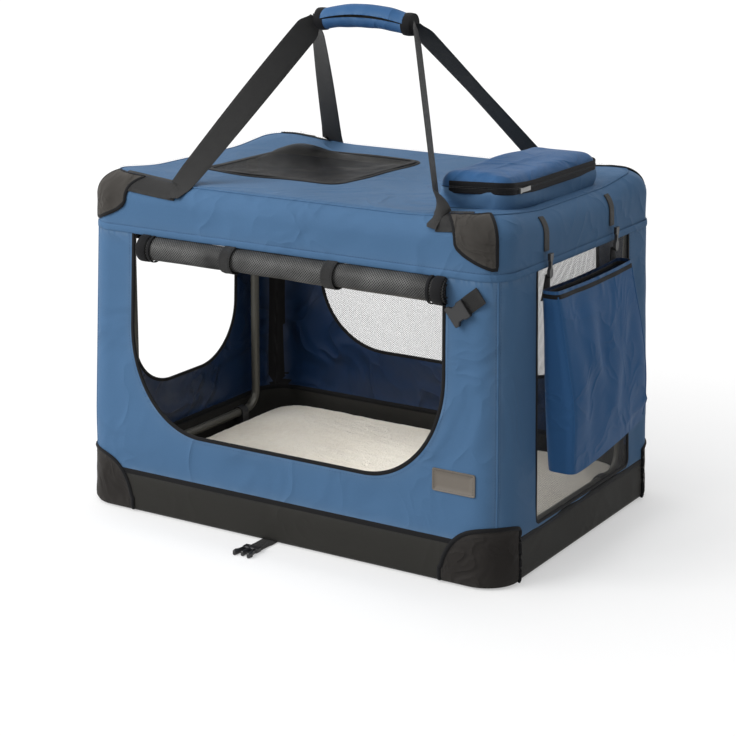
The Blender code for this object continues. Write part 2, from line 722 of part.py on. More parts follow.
def build_walls():
    """Four fabric walls with their door and window openings, and the nets in them."""
    top = SEAM_HEIGHT + OVERRUN
    blue = MATERIALS["blue_fabric"]
    front = wall_panel("front_wall", "front", blue)
    outline = door_outline(FRONT_DOOR_WIDTH, FRONT_DOOR_SILL, FRONT_DOOR_CORNER, FRONT_DOOR_CORNER_RISE, top)
    cut(front, wall_cutter("front_door_cutter", outline, "front", blue))

    rear = wall_panel("rear_wall", "rear", blue)
    rear_outline = door_outline(REAR_WINDOW_WIDTH, REAR_WINDOW_SILL, FRONT_DOOR_CORNER, FRONT_DOOR_CORNER, top)
    cut(rear, wall_cutter("rear_window_cutter", rear_outline, "rear", blue))

    left = wall_panel("left_wall", "left", blue)
    left_outline = door_outline(LEFT_DOOR_WIDTH, LEFT_DOOR_SILL, LEFT_DOOR_CORNER, LEFT_DOOR_CORNER, top)
    cut(left, wall_cutter("left_door_cutter", left_outline, "left", blue))

    right = wall_panel("right_wall", "right", blue)
    half = RIGHT_WINDOW_WIDTH / 2
    right_outline = [(half, top), (-half, top), (-half, RIGHT_WINDOW_SILL), (half, RIGHT_WINDOW_SILL)]
    cut(right, wall_cutter("right_window_cutter", right_outline, "right", blue))
    build_window_nets()


def build_window_nets():
    """Nets that close the rear window and the right end window."""
    high = SEAM_HEIGHT - PIECE_GAP
    rear_y = HALF_Y - WALL_FABRIC / 2
    half = REAR_WINDOW_WIDTH / 2 - PIECE_GAP
    low = REAR_WINDOW_SILL + PIECE_GAP
    place = (0.0, rear_y, low)
    rear_net = net_grid("rear_window_net", (-half, low), (half, high),
                        lambda u, v: (u, rear_y, v), MATERIALS["net"], place)
    trim = door_outline(2 * half, low, FRONT_DOOR_CORNER, FRONT_DOOR_CORNER, high + OVERRUN)
    keep = prism("rear_net_outline", trim, (0.0, rear_y - OVERRUN, 0.0), ((1, 0, 0), (0, 0, 1), (0, 1, 0)),
                 2 * OVERRUN, MATERIALS["net"], place)
    boolean = rear_net.modifiers.new("outline", "BOOLEAN")
    boolean.operation = "INTERSECT"
    boolean.object = keep
    keep.hide_render = True
    keep.display_type = "WIRE"

    right_x = HALF_X - WALL_FABRIC / 2
    half = RIGHT_WINDOW_WIDTH / 2 - PIECE_GAP
    low = RIGHT_WINDOW_SILL + PIECE_GAP
    net_grid("right_window_net", (-half, low), (half, high),
             lambda u, v: (right_x, u, v), MATERIALS["net"], (right_x, 0.0, low))


# Roof


def roof_profile(thickness):
    """Section of the roof cover: inset, height and plan corner radius, from seam to top."""
    centre_height = HEIGHT - ROOF_EDGE_RADIUS
    stations = [(thickness, SEAM_HEIGHT, WALL_CORNER_RADIUS)]
    for step in range(2 * ARC_STEPS + 1):
        angle = math.pi / 2 * step / (2 * ARC_STEPS)
        inset = ROOF_EDGE_RADIUS - (ROOF_EDGE_RADIUS - thickness) * math.cos(angle)
        height = centre_height + (ROOF_EDGE_RADIUS - thickness) * math.sin(angle)
        radius = WALL_CORNER_RADIUS + (ROOF_CORNER_RADIUS - WALL_CORNER_RADIUS) * step / (2 * ARC_STEPS)
        stations.append((inset, height, radius))
    return stations


def build_roof_cover(roof):
    """Roof fabric with its hanging band, open below, with the window cut out of the top."""
    rings = []
    for inset, height, radius in reversed(roof_profile(WALL_FABRIC)):
        rings.append(plan_ring(HALF_X - inset, HALF_Y - inset, radius, height))
    for inset, height, radius in roof_profile(0.0):
        rings.append(plan_ring(HALF_X - inset, HALF_Y - inset, radius, height))
    cover = loft("roof_cover", rings, MATERIALS["blue_fabric"], (0.0, 0.0, SEAM_HEIGHT), roof)
    centre_x = ROOF_WINDOW_LEFT + ROOF_WINDOW_LENGTH / 2
    centre_y = ROOF_WINDOW_FRONT + ROOF_WINDOW_WIDTH / 2
    outline = rounded_rectangle(ROOF_WINDOW_LENGTH / 2, ROOF_WINDOW_WIDTH / 2, ROOF_WINDOW_CORNER)
    start = (centre_x, centre_y, HEIGHT - WALL_FABRIC - OVERRUN)
    hole = prism("roof_window_cutter", outline, start, ((1, 0, 0), (0, 1, 0), (0, 0, 1)),
                 WALL_FABRIC + 2 * OVERRUN, MATERIALS["blue_fabric"], start)
    cut(cover, hole)


def build_roof_frame(roof):
    """Closed rectangle of steel tube under the roof cover."""
    ring = plan_ring(ROOF_RAIL_X, ROOF_RAIL_Y, ROOF_FRAME_CORNER, ROOF_RAIL_HEIGHT)
    tube("roof_frame", ring, TUBE_RADIUS, MATERIALS["steel_tube"], (0.0, 0.0, ROOF_RAIL_HEIGHT), roof, cyclic=True)


def channel_outline():
    """Half ring, open towards the cabin, that takes a leg."""
    inner = TUBE_RADIUS + LEG_CAP_WALL + CHANNEL_PLAY
    outer = inner + CHANNEL_WALL
    outline = []
    for step in range(FINE_STEPS + 1):
        angle = -math.pi / 2 + math.pi * step / FINE_STEPS
        outline.append((outer * math.cos(angle), outer * math.sin(angle)))
    for step in range(FINE_STEPS + 1):
        angle = math.pi / 2 - math.pi * step / FINE_STEPS
        outline.append((inner * math.cos(angle), inner * math.sin(angle)))
    return outline


def stem_outline():
    """Half disc outboard of the leg, which ties the channel to its collar."""
    outer = TUBE_RADIUS + LEG_CAP_WALL + CHANNEL_PLAY + CHANNEL_WALL / 2
    outline = []
    for step in range(FINE_STEPS + 1):
        angle = -math.pi / 2 + math.pi * step / FINE_STEPS
        outline.append((outer * math.cos(angle), outer * math.sin(angle)))
    return outline


def build_snap_channels(roof):
    """Plastic snap channels: a collar on the roof rail and a half channel round the leg's top."""
    collar_bore = (TUBE_RADIUS + PIECE_GAP) / math.cos(math.pi / (4 * ARC_STEPS))
    plastic = MATERIALS["black_plastic"]
    for side, sign_x, reach in (("left", -1, LEFT_LEG_REACH), ("right", 1, RIGHT_LEG_REACH)):
        for end, sign_y in (("front", -1), ("rear", 1)):
            name = "snap_channel_" + side + "_" + end
            centre_y = sign_y * reach
            rail = (sign_x * ROOF_RAIL_X, centre_y, ROOF_RAIL_HEIGHT)
            top = ROOF_RAIL_HEIGHT - TUBE_RADIUS - PIECE_GAP - CHANNEL_WALL / 2
            bottom = LEG_TOP - CHANNEL_HEIGHT
            channel = prism(name, channel_outline(), (sign_x * PIVOT_X, centre_y, bottom),
                            ((sign_x, 0, 0), (0, 1, 0), (0, 0, 1)), top - bottom, plastic, rail, roof)
            collar = round_cutter(name + "_collar", rail, (0, 1, 0), COLLAR_RADIUS, COLLAR_WIDTH, rail)
            join_by_union(channel, collar)
            stem_bottom = LEG_TOP + STEM_HEADROOM
            stem = prism(name + "_stem", stem_outline(), (sign_x * PIVOT_X, centre_y, stem_bottom),
                         ((sign_x, 0, 0), (0, 1, 0), (0, 0, 1)), ROOF_RAIL_HEIGHT - stem_bottom, plastic, rail)
            join_by_union(channel, stem)
            bore = round_cutter(name + "_bore", rail, (0, 1, 0), collar_bore, COLLAR_WIDTH + 2 * OVERRUN, rail)
            cut(channel, bore)


def roof_surface(sign_x, sign_y, run, station, outset):
    """Point over the roof cover near a corner: a run round the plan at one station of the section."""
    inset, height, radius = station
    rise = max(height - (HEIGHT - ROOF_EDGE_RADIUS), 0.0) / ROOF_EDGE_RADIUS
    spread = outset * math.sqrt(max(1 - rise * rise, 0.0))
    point = corner_point(sign_x, sign_y, HALF_X - inset, HALF_Y - inset, radius, run, spread)
    return (*point, height + outset * rise)


def build_roof_patches(roof):
    """Corner patches on the long sides of the roof band, pointed at the wall seam."""
    stations = roof_profile(0.0)
    tip = [a + (b - a) * ROOF_PATCH_TIP_SHARE for a, b in zip(stations[0], stations[1])]
    stations = [tip] + stations[1:-1]
    for end, sign_y in (("front", -1), ("rear", 1)):
        for side, sign_x in (("left", -1), ("right", 1)):
            outer = []
            inner = []
            for index, station in enumerate(stations):
                share = min((index + 1) / (len(stations) * ROOF_PATCH_WIDE_SHARE), 1.0)
                reach = ROOF_PATCH_REACH * math.sin(math.pi / 2 * share)
                runs = run_stations(ROOF_PATCH_START, reach, station[2] * math.pi / 4)
                outside = ROOF_PATCH_GAP + PATCH_FABRIC
                outer.append([roof_surface(sign_x, sign_y, run, station, outside) for run in runs])
                inner.append([roof_surface(sign_x, sign_y, run, station, ROOF_PATCH_GAP) for run in runs])
            name = "roof_patch_" + end + "_" + side
            place = (sign_x * HALF_X, sign_y * HALF_Y, SEAM_HEIGHT)
            grid_solid(name, outer, inner, MATERIALS["patch_fabric"], place, roof)


# End frames


def end_frame_path(sign_x, reach):
    """U of tube: two legs and the cross tube that turns in the clamps."""
    pivot_x = sign_x * PIVOT_X
    top = LEG_TOP - RUNNING_GAP
    path = [(pivot_x, -reach, top), (pivot_x, -reach, PIVOT_HEIGHT + END_FRAME_BEND)]
    for step in range(1, ARC_STEPS + 1):
        angle = math.pi / 2 * step / ARC_STEPS
        path.append((pivot_x, -reach + END_FRAME_BEND * (1 - math.cos(angle)),
                     PIVOT_HEIGHT + END_FRAME_BEND * (1 - math.sin(angle))))
    mirrored = [(point[0], -point[1], point[2]) for point in reversed(path)]
    return path + mirrored


def build_end_frames(left_frame, right_frame):
    """The two folding end frames with plastic caps on their legs."""
    for side, sign_x, reach, holder in (("left", -1, LEFT_LEG_REACH, left_frame),
                                        ("right", 1, RIGHT_LEG_REACH, right_frame)):
        place = (sign_x * PIVOT_X, 0.0, PIVOT_HEIGHT)
        tube(side + "_end_frame", end_frame_path(sign_x, reach), TUBE_RADIUS, MATERIALS["steel_tube"], place, holder)
        for end, sign_y in (("front", -1), ("rear", 1)):
            leg_cap(side + "_leg_cap_" + end, sign_x * PIVOT_X, sign_y * reach, holder)


def leg_cap(name, centre_x, centre_y, holder):
    """Plastic cap over the top of a leg."""
    outer = TUBE_RADIUS + LEG_CAP_WALL
    inner = TUBE_RADIUS + PIECE_GAP
    top = LEG_TOP - RUNNING_GAP
    sizes = ((inner, top + PIECE_GAP), (inner, top - LEG_CAP_LENGTH), (outer, top - LEG_CAP_LENGTH),
             (outer, top), (outer - LEG_CAP_WALL / 2, top + PIECE_GAP + LEG_CAP_WALL))
    rings = []
    for radius, height in sizes:
        ring = []
        for step in range(3 * ARC_STEPS):
            angle = math.tau * step / (3 * ARC_STEPS)
            ring.append((centre_x + radius * math.cos(angle), centre_y + radius * math.sin(angle), height))
        rings.append(ring)
    loft(name, rings, MATERIALS["black_plastic"], (centre_x, centre_y, top), holder)


# Carrying handle


def strap_path(sign_x, sign_y):
    """Route of one carrying strap: along the roof edge, up, and in to the grip."""
    edge = ROOF_EDGE_RADIUS * (1 - math.sqrt(0.5))
    out = (STRAP_STAND_OFF + STRAP_THICKNESS / 2) * math.sqrt(0.5)
    roof_y = HALF_Y - edge + out
    roof_z = HEIGHT - edge + out
    foot = (sign_x * STRAP_FOOT, sign_y * roof_y, roof_z)
    lift = (sign_x * STRAP_LIFT, sign_y * roof_y, roof_z)
    grip_end = GRIP_LENGTH / 2 + CUFF_LENGTH + RUNNING_GAP
    hand = (GRIP_OFFSET + sign_x * grip_end, sign_y * STRAP_END_SPREAD, HEIGHT + GRIP_HEIGHT)
    bend = (hand[0] + sign_x * STRAP_WIDTH / 2, sign_y * STRAP_WIDTH / 2, hand[2] - STRAP_WIDTH / 4)
    path = [foot, lift]
    flat = (0.0, sign_y * math.sqrt(0.5), math.sqrt(0.5))
    outward = (sign_x, 0.0, 0.0)
    inward = (0.0, -sign_y * math.sqrt(0.5), math.sqrt(0.5))
    normals = [flat, flat]
    for step in range(1, STRAP_TWIST_STEPS + 1):
        share = step / STRAP_TWIST_STEPS
        path.append(blend(lift, bend, share))
        normals.append(blend(flat, outward, share))
    for step in range(1, ARC_STEPS + 1):
        share = step / ARC_STEPS
        middle = (bend[0], sign_y * STRAP_END_SPREAD, hand[2])
        path.append(blend(blend(bend, middle, share), blend(middle, hand, share), share))
        normals.append(blend(outward, inward, share))
    return path, normals


def build_handle(roof):
    """The four strap runs from the roof edges up to the grip."""
    for end, sign_y in (("front", -1), ("rear", 1)):
        for side, sign_x in (("left", -1), ("right", 1)):
            path, normals = strap_path(sign_x, sign_y)
            taper = [STRAP_WIDTH] * (len(path) - ARC_STEPS)
            for step in range(1, ARC_STEPS + 1):
                taper.append(STRAP_WIDTH + (STRAP_END_WIDTH - STRAP_WIDTH) * step / ARC_STEPS)
            ribbon("carry_strap_" + end + "_" + side, path, normals, taper, STRAP_THICKNESS,
                   MATERIALS["webbing"], path[0], roof)


def grip_solid(name, low_x, high_x, radius, material, place, parent, bulge, steps):
    """Round bar along X with a slight swell in its middle."""
    rings = []
    for step in range(steps + 1):
        share = step / steps
        swell = radius + bulge * math.sin(math.pi * share)
        ring = []
        for turn in range(3 * ARC_STEPS):
            angle = math.tau * turn / (3 * ARC_STEPS)
            ring.append((low_x + (high_x - low_x) * share, swell * math.cos(angle),
                         HEIGHT + GRIP_HEIGHT + swell * math.sin(angle)))
        rings.append(ring)
    return loft(name, rings, material, place, parent)


def build_grip(handle):
    """The padded sleeve that closes round the straps, and its two cuffs."""
    place = (GRIP_OFFSET, 0.0, HEIGHT + GRIP_HEIGHT)
    half = GRIP_LENGTH / 2
    grip_solid("grip_sleeve", GRIP_OFFSET - half, GRIP_OFFSET + half, GRIP_RADIUS,
               MATERIALS["blue_fabric"], place, handle, CUFF_RADIUS - GRIP_RADIUS, 2 * ARC_STEPS)
    for side, sign_x in (("left", -1), ("right", 1)):
        near = GRIP_OFFSET + sign_x * (half + PIECE_GAP)
        far = GRIP_OFFSET + sign_x * (half + CUFF_LENGTH)
        grip_solid("grip_cuff_" + side, min(near, far), max(near, far), CUFF_RADIUS,
                   MATERIALS["webbing"], place, handle, 0.0, 1)


# Roof bag


def bag_ring(inset, height, radius):
    """Ring round the roof bag at one height."""
    centre_x = BAG_LEFT + BAG_LENGTH / 2
    centre_y = BAG_FRONT + BAG_WIDTH / 2
    outline = rounded_rectangle(BAG_LENGTH / 2 - inset, BAG_WIDTH / 2 - inset, radius)
    return [(centre_x + u, centre_y + v, height) for u, v in outline]


def build_roof_bag(roof, lid):
    """Zipped bag on the roof: an open body and the lid hinged along its left edge."""
    low = HEIGHT + PIECE_GAP
    rim = low + BAG_BODY_HEIGHT
    floor = low + BAG_FABRIC
    inner = BAG_CORNER - BAG_FABRIC
    rings = [bag_ring(0.0, low, BAG_CORNER), bag_ring(0.0, rim, BAG_CORNER),
             bag_ring(BAG_FABRIC, rim, inner), bag_ring(BAG_FABRIC, floor, inner)]
    centre_y = BAG_FRONT + BAG_WIDTH / 2
    loft("roof_bag_body", rings, MATERIALS["blue_fabric"], (BAG_LEFT + BAG_LENGTH / 2, centre_y, low), roof)
    lid_low = rim + PIECE_GAP
    lid_top = lid_low + BAG_LID_HEIGHT
    rings = [bag_ring(BAG_FABRIC, lid_top - BAG_LID_ROUND, inner),
             bag_ring(BAG_FABRIC, lid_low, inner), bag_ring(0.0, lid_low, BAG_CORNER),
             bag_ring(0.0, lid_top - BAG_LID_ROUND, BAG_CORNER)]
    for step in range(1, ARC_STEPS + 1):
        angle = math.pi / 2 * step / ARC_STEPS
        inset = BAG_LID_ROUND * (1 - math.cos(angle))
        height = lid_top - BAG_LID_ROUND * (1 - math.sin(angle))
        rings.append(bag_ring(inset, height, BAG_CORNER - inset / 2))
    inner_top = bag_ring(BAG_FABRIC + BAG_LID_ROUND / 2, lid_top - BAG_FABRIC, BAG_CORNER / 2)
    rings.insert(0, inner_top)
    loft("roof_bag_lid", rings, MATERIALS["blue_fabric"], (BAG_LEFT, centre_y, lid_low), lid)


def slider_solid(name, centre, along, out, material, place, parent):
    """Zip slider with its hanging pull: a small body and a thin tab joined to it."""
    along = Vector(along)
    out = Vector(out)
    side = along.cross(out)
    start = Vector(centre)
    half = SLIDER_LENGTH / 2
    wide = SLIDER_WIDTH / 2
    outline = [(-half, -wide), (half, -wide / 2), (half, wide / 2), (-half, wide)]
    body = prism(name, outline, start, (along, side, out), SLIDER_HEIGHT, material, place, parent, SLIDER_HEIGHT / 8)
    tab = [(half / 2, -PULL_WIDTH / 2), (half / 2 + PULL_LENGTH, -PULL_WIDTH / 2),
           (half / 2 + PULL_LENGTH, PULL_WIDTH / 2), (half / 2, PULL_WIDTH / 2)]
    base = start + out * (SLIDER_HEIGHT / 2)
    pull = prism(name + "_pull", tab, base, (along, side, out), PULL_THICKNESS, material, place)
    join_by_union(body, pull)
    return body


def build_zip_slider(roof):
    """Slider of the bag's zip, at the front end of its straight run along the right side."""
    seam = HEIGHT + PIECE_GAP + BAG_BODY_HEIGHT
    centre = (BAG_LEFT + BAG_LENGTH + RUNNING_GAP, BAG_FRONT + ZIP_END, seam)
    slider_solid("bag_zip_slider", centre, (0, 1, 0), (1, 0, 0), MATERIALS["zinc"], centre, roof)


# Roof door


def build_roof_door(door):
    """Net flap that fills the roof window, hinged along its left edge."""
    play = PIECE_GAP
    low_x = ROOF_WINDOW_LEFT + play
    high_x = ROOF_WINDOW_LEFT + ROOF_WINDOW_LENGTH - play
    low_y = ROOF_WINDOW_FRONT + play
    high_y = ROOF_WINDOW_FRONT + ROOF_WINDOW_WIDTH - play
    top = HEIGHT - WALL_FABRIC / 2
    place = (ROOF_WINDOW_LEFT, ROOF_WINDOW_FRONT + ROOF_WINDOW_WIDTH / 2, HEIGHT)
    net = net_grid("roof_door_net", (low_x, low_y), (high_x, high_y),
                   lambda u, v: (u, v, top), MATERIALS["net"], place, door)
    outline = rounded_rectangle((high_x - low_x) / 2, (high_y - low_y) / 2, ROOF_WINDOW_CORNER - play)
    middle = ((low_x + high_x) / 2, (low_y + high_y) / 2, top - OVERRUN)
    keep = prism("roof_net_outline", outline, middle, ((1, 0, 0), (0, 1, 0), (0, 0, 1)),
                 2 * OVERRUN, MATERIALS["net"], place)
    boolean = net.modifiers.new("outline", "BOOLEAN")
    boolean.operation = "INTERSECT"
    boolean.object = keep
    keep.hide_render = True
    keep.display_type = "WIRE"


# Side pocket


def pocket_ring(height, depth, inset):
    """Ring round the hanging pocket at one height."""
    near = HALF_X + POCKET_STAND_OFF + inset
    far = HALF_X + POCKET_STAND_OFF + depth - inset
    half_x = (far - near) / 2
    half_y = POCKET_WIDTH / 2 - inset
    radius = min(POCKET_CORNER, half_x * 0.8) - inset / 2
    outline = rounded_rectangle(half_x, half_y, radius)
    return [((near + far) / 2 + u, POCKET_CENTRE + v, height) for u, v in outline]


def pocket_depth(share):
    """Depth of the pocket from its top, share 0, to its bottom, share 1."""
    swell = math.sin(math.pi * min(share * 0.72, 1.0))
    return POCKET_DEPTH_TOP + (POCKET_DEPTH_LOW - POCKET_DEPTH_TOP) * swell


def build_side_pocket(roof, pocket):
    """Open pocket that hangs on two hooks from loops on the roof band."""
    span = POCKET_TOP - POCKET_BOTTOM
    rings = []
    floor_share = 1 - POCKET_FABRIC / span
    for step in range(ARC_STEPS + 1):
        share = floor_share * (1 - step / ARC_STEPS)
        rings.append(pocket_ring(POCKET_TOP - span * share, pocket_depth(share), POCKET_FABRIC))
    for step in range(ARC_STEPS + 1):
        share = step / ARC_STEPS
        rings.append(pocket_ring(POCKET_TOP - span * share, pocket_depth(share), 0.0))
    hinge = (HALF_X + POCKET_STAND_OFF + LOOP_THICKNESS, POCKET_CENTRE, LOOP_BOTTOM)
    body = loft("side_pocket", rings, MATERIALS["blue_fabric"], hinge, pocket)
    for end, sign_y in (("front", -1), ("rear", 1)):
        centre_y = POCKET_CENTRE + sign_y * LOOP_SPREAD
        build_pocket_loop("pocket_loop_" + end, centre_y, roof)
        build_pocket_hook("pocket_hook_" + end, centre_y, hinge, pocket)
        join_by_union(body, pocket_tab("pocket_tab_" + end, centre_y, hinge))


def build_pocket_loop(name, centre_y, roof):
    """Webbing loop sewn to the roof band, which the hook turns in."""
    near = HALF_X + PIECE_GAP
    far = near + LOOP_THICKNESS
    outline = [(near, LOOP_BOTTOM), (far, LOOP_BOTTOM), (far, HEIGHT - ROOF_EDGE_RADIUS)]
    for step in range(1, ARC_STEPS + 1):
        angle = math.pi / 4 * step / ARC_STEPS
        radius = ROOF_EDGE_RADIUS + PIECE_GAP + LOOP_THICKNESS
        outline.append((HALF_X - ROOF_EDGE_RADIUS + radius * math.cos(angle),
                        HEIGHT - ROOF_EDGE_RADIUS + radius * math.sin(angle)))
    for step in range(ARC_STEPS, 0, -1):
        angle = math.pi / 4 * step / ARC_STEPS
        radius = ROOF_EDGE_RADIUS + PIECE_GAP
        outline.append((HALF_X - ROOF_EDGE_RADIUS + radius * math.cos(angle),
                        HEIGHT - ROOF_EDGE_RADIUS + radius * math.sin(angle)))
    outline.append((near, HEIGHT - ROOF_EDGE_RADIUS))
    start = (0.0, centre_y - LOOP_WIDTH / 2, 0.0)
    prism(name, outline, start, ((1, 0, 0), (0, 0, 1), (0, 1, 0)), LOOP_WIDTH,
          MATERIALS["webbing"], (HALF_X, centre_y, LOOP_BOTTOM), roof)


def build_pocket_hook(name, centre_y, hinge, pocket):
    """Snap hook with its eye, and the tab that is sewn to the pocket's edge."""
    top = LOOP_BOTTOM - PIECE_GAP
    near = HALF_X + PIECE_GAP
    outline = [(-HOOK_WIDTH / 2, 0.0), (HOOK_WIDTH / 2, 0.0), (HOOK_WIDTH * 0.42, -HOOK_LENGTH * 0.25),
               (HOOK_WIDTH * 0.2, -HOOK_LENGTH * 0.34), (HOOK_WIDTH * 0.2, -HOOK_LENGTH * 0.55),
               (HOOK_WIDTH / 2, -HOOK_LENGTH * 0.68), (HOOK_WIDTH / 2, -HOOK_LENGTH * 0.9),
               (HOOK_WIDTH * 0.25, -HOOK_LENGTH), (-HOOK_WIDTH * 0.25, -HOOK_LENGTH),
               (-HOOK_WIDTH / 2, -HOOK_LENGTH * 0.9), (-HOOK_WIDTH / 2, -HOOK_LENGTH * 0.68),
               (-HOOK_WIDTH * 0.2, -HOOK_LENGTH * 0.55), (-HOOK_WIDTH * 0.2, -HOOK_LENGTH * 0.34),
               (-HOOK_WIDTH * 0.42, -HOOK_LENGTH * 0.25)]
    prism(name, outline, (near, centre_y, top), ((0, 1, 0), (0, 0, 1), (1, 0, 0)), HOOK_THICKNESS,
          MATERIALS["black_plastic"], hinge, pocket)


def pocket_tab(name, centre_y, hinge):
    """Webbing tab sewn down into the pocket's back, up to the hook."""
    top = LOOP_BOTTOM - HOOK_LENGTH - 2 * PIECE_GAP
    low = POCKET_TOP - TAB_WIDTH
    half = TAB_WIDTH / 2
    outline = [(-half, low), (half, low), (half, top), (-half, top)]
    start = (HALF_X + POCKET_STAND_OFF + POCKET_FABRIC / 4, centre_y, 0.0)
    return prism(name, outline, start, ((0, 1, 0), (0, 0, 1), (1, 0, 0)), LOOP_THICKNESS,
                 MATERIALS["webbing"], hinge)


# Rolled doors


def roll_solid(name, centre, axis, radius, length, turns_step, material, place, parent):
    """Rolled cloth: a scroll whose outer lap ends in a step."""
    outline = []
    count = 6 * ARC_STEPS
    for step in range(count):
        angle = math.tau * step / count
        lap = radius * (1 - turns_step * step / count)
        outline.append((lap * math.cos(angle), lap * math.sin(angle)))
    along = Vector(axis)
    across = Vector((0.0, 0.0, 1.0)).cross(along)
    start = Vector(centre) - along * (length / 2)
    work = bmesh.new()
    prism_into(work, outline, start, along, across, Vector((0.0, 0.0, 1.0)), length)
    return from_bmesh(name, work, material, place, parent)


def roll_band(name, centre, axis, width, parent):
    """Band of cloth round a rolled door."""
    along = Vector(axis)
    across = Vector((0.0, 0.0, 1.0)).cross(along)
    up = Vector((0.0, 0.0, 1.0))
    inner = (ROLL_RADIUS + PIECE_GAP) / math.cos(math.pi / (3 * ARC_STEPS))
    outer = inner + ROLL_TIE_THICKNESS
    rings = []
    for reach, offset in ((inner, -width / 2), (outer, -width / 2), (outer, width / 2), (inner, width / 2)):
        ring = []
        for step in range(3 * ARC_STEPS):
            angle = math.tau * step / (3 * ARC_STEPS)
            spoke = across * (reach * math.cos(angle)) + up * (reach * math.sin(angle))
            ring.append(Vector(centre) + along * offset + spoke)
        rings.append(ring)
    return loft(name, rings, MATERIALS["webbing"], centre, parent, capped=False)


def build_rolled_doors(roof):
    """Front and left doors rolled up under the roof band and held by ties."""
    reach = (ROLL_RADIUS + PIECE_GAP) / math.cos(math.pi / (3 * ARC_STEPS)) + ROLL_TIE_THICKNESS
    height = SEAM_HEIGHT - PIECE_GAP - reach
    front_y = -HALF_Y + WALL_FABRIC / 2
    centre = (0.0, front_y, height)
    roll_solid("front_door_roll", centre, (1, 0, 0), ROLL_RADIUS, ROLL_LENGTH, ROLL_STEP, MATERIALS["net"],
               centre, roof)
    left_x = -HALF_X + WALL_FABRIC / 2
    centre = (left_x, 0.0, height)
    roll_solid("left_door_roll", centre, (0, 1, 0), ROLL_RADIUS, LEFT_ROLL_LENGTH, ROLL_STEP, MATERIALS["net"],
               centre, roof)
    for side, sign_x in (("left", -1), ("right", 1)):
        place = (sign_x * ROLL_TIE_REACH, front_y, height)
        roll_band("front_door_tie_" + side, place, (1, 0, 0), ROLL_TIE_WIDTH, roof)
    for end, sign_y in (("front", -1), ("rear", 1)):
        place = (left_x, sign_y * ROLL_TIE_REACH, height)
        roll_band("left_door_tie_" + end, place, (0, 1, 0), ROLL_TIE_WIDTH, roof)


# Buckles


def buckle_socket_outline():
    """Socket of a side-release buckle, mouth at the far end, waisted sides."""
    half = BUCKLE_WIDTH / 2
    length = BUCKLE_BODY
    right = [(half * 0.84, 0.0), (half * 0.84, length * 0.30), (half * 0.70, length * 0.42),
             (half * 0.70, length * 0.66), (half, length * 0.82), (half * 0.94, length)]
    left = [(-u, v) for u, v in reversed(right)]
    return right + left


def buckle_plug_outline():
    """Plug of a side-release buckle: a bar, a middle guide and two springy arms."""
    half = BUCKLE_WIDTH / 2
    bar = BUCKLE_BODY * 0.42
    tip = bar + BUCKLE_PRONG
    arm = BUCKLE_PRONG_WIDTH
    guide = BUCKLE_PRONG_WIDTH / 2
    right = [(half * 0.84, 0.0), (half * 0.84, bar * 0.8), (half * 0.72, bar), (half * 0.80, bar + BUCKLE_PRONG * 0.45),
             (half, bar + BUCKLE_PRONG * 0.62), (half * 0.92, tip), (half * 0.62, tip),
             (half * 0.72 - arm * 0.6, bar + BUCKLE_PRONG * 0.5), (half * 0.62 - arm * 0.5, bar),
             (guide, bar), (guide, tip * 0.92)]
    left = [(-u, v) for u, v in reversed(right)]
    return right + left


def corner_strap_root():
    """Middle of the sewn edge of the corner strap, on its centre plane."""
    face_y = -HALF_Y - PIECE_GAP - PATCH_FABRIC - PASSING_GAP - STRAP_THICKNESS / 2
    return HALF_X - WALL_CORNER_RADIUS, face_y, CORNER_STRAP_HEIGHT


def build_corner_buckle(holder):
    """Buckle socket on a short strap sewn in the front right corner seam."""
    place = corner_strap_root()
    half = BUCKLE_STRAP_WIDTH / 2
    outline = [(0.0, -half), (CORNER_STRAP_LENGTH, -half), (CORNER_STRAP_LENGTH, half), (0.0, half)]
    slope = math.radians(CORNER_STRAP_SLOPE)
    across = Vector((-math.cos(slope), 0.0, -math.sin(slope)))
    up = Vector((-math.sin(slope), 0.0, math.cos(slope)))
    out = Vector((0.0, -1.0, 0.0))
    start = Vector(place) - out * (STRAP_THICKNESS / 2)
    prism("corner_strap", outline, start, (across, up, out), STRAP_THICKNESS, MATERIALS["webbing"], place, holder)
    begin = start + across * (CORNER_STRAP_LENGTH + PIECE_GAP)
    prism("buckle_socket", buckle_socket_outline(), begin, (up, across, out), BUCKLE_THICKNESS,
          MATERIALS["black_plastic"], place, holder, BUCKLE_EDGE)


def build_floor_buckle(holder):
    """Buckle plug on a strap that comes out under the front of the base."""
    half = BUCKLE_STRAP_WIDTH / 2
    axes = ((1, 0, 0), (0, -1, 0), (0, 0, 1))
    bend_y = -HALF_Y - FLOOR_STRAP_BEND
    place = (FLOOR_STRAP_CENTRE, bend_y - PIECE_GAP, PIECE_GAP + STRAP_THICKNESS)
    outline = [(-half, 0.0), (half, 0.0), (half, FLOOR_STRAP_LENGTH), (-half, FLOOR_STRAP_LENGTH)]
    start = (FLOOR_STRAP_CENTRE, bend_y - PIECE_GAP, PIECE_GAP)
    prism("floor_strap", outline, start, axes, STRAP_THICKNESS, MATERIALS["webbing"], place, holder)
    begin = (FLOOR_STRAP_CENTRE, bend_y - FLOOR_STRAP_LENGTH - 2 * PIECE_GAP, PIECE_GAP)
    prism("buckle_plug", buckle_plug_outline(), begin, axes, BUCKLE_THICKNESS, MATERIALS["black_plastic"],
          place, holder, BUCKLE_EDGE)


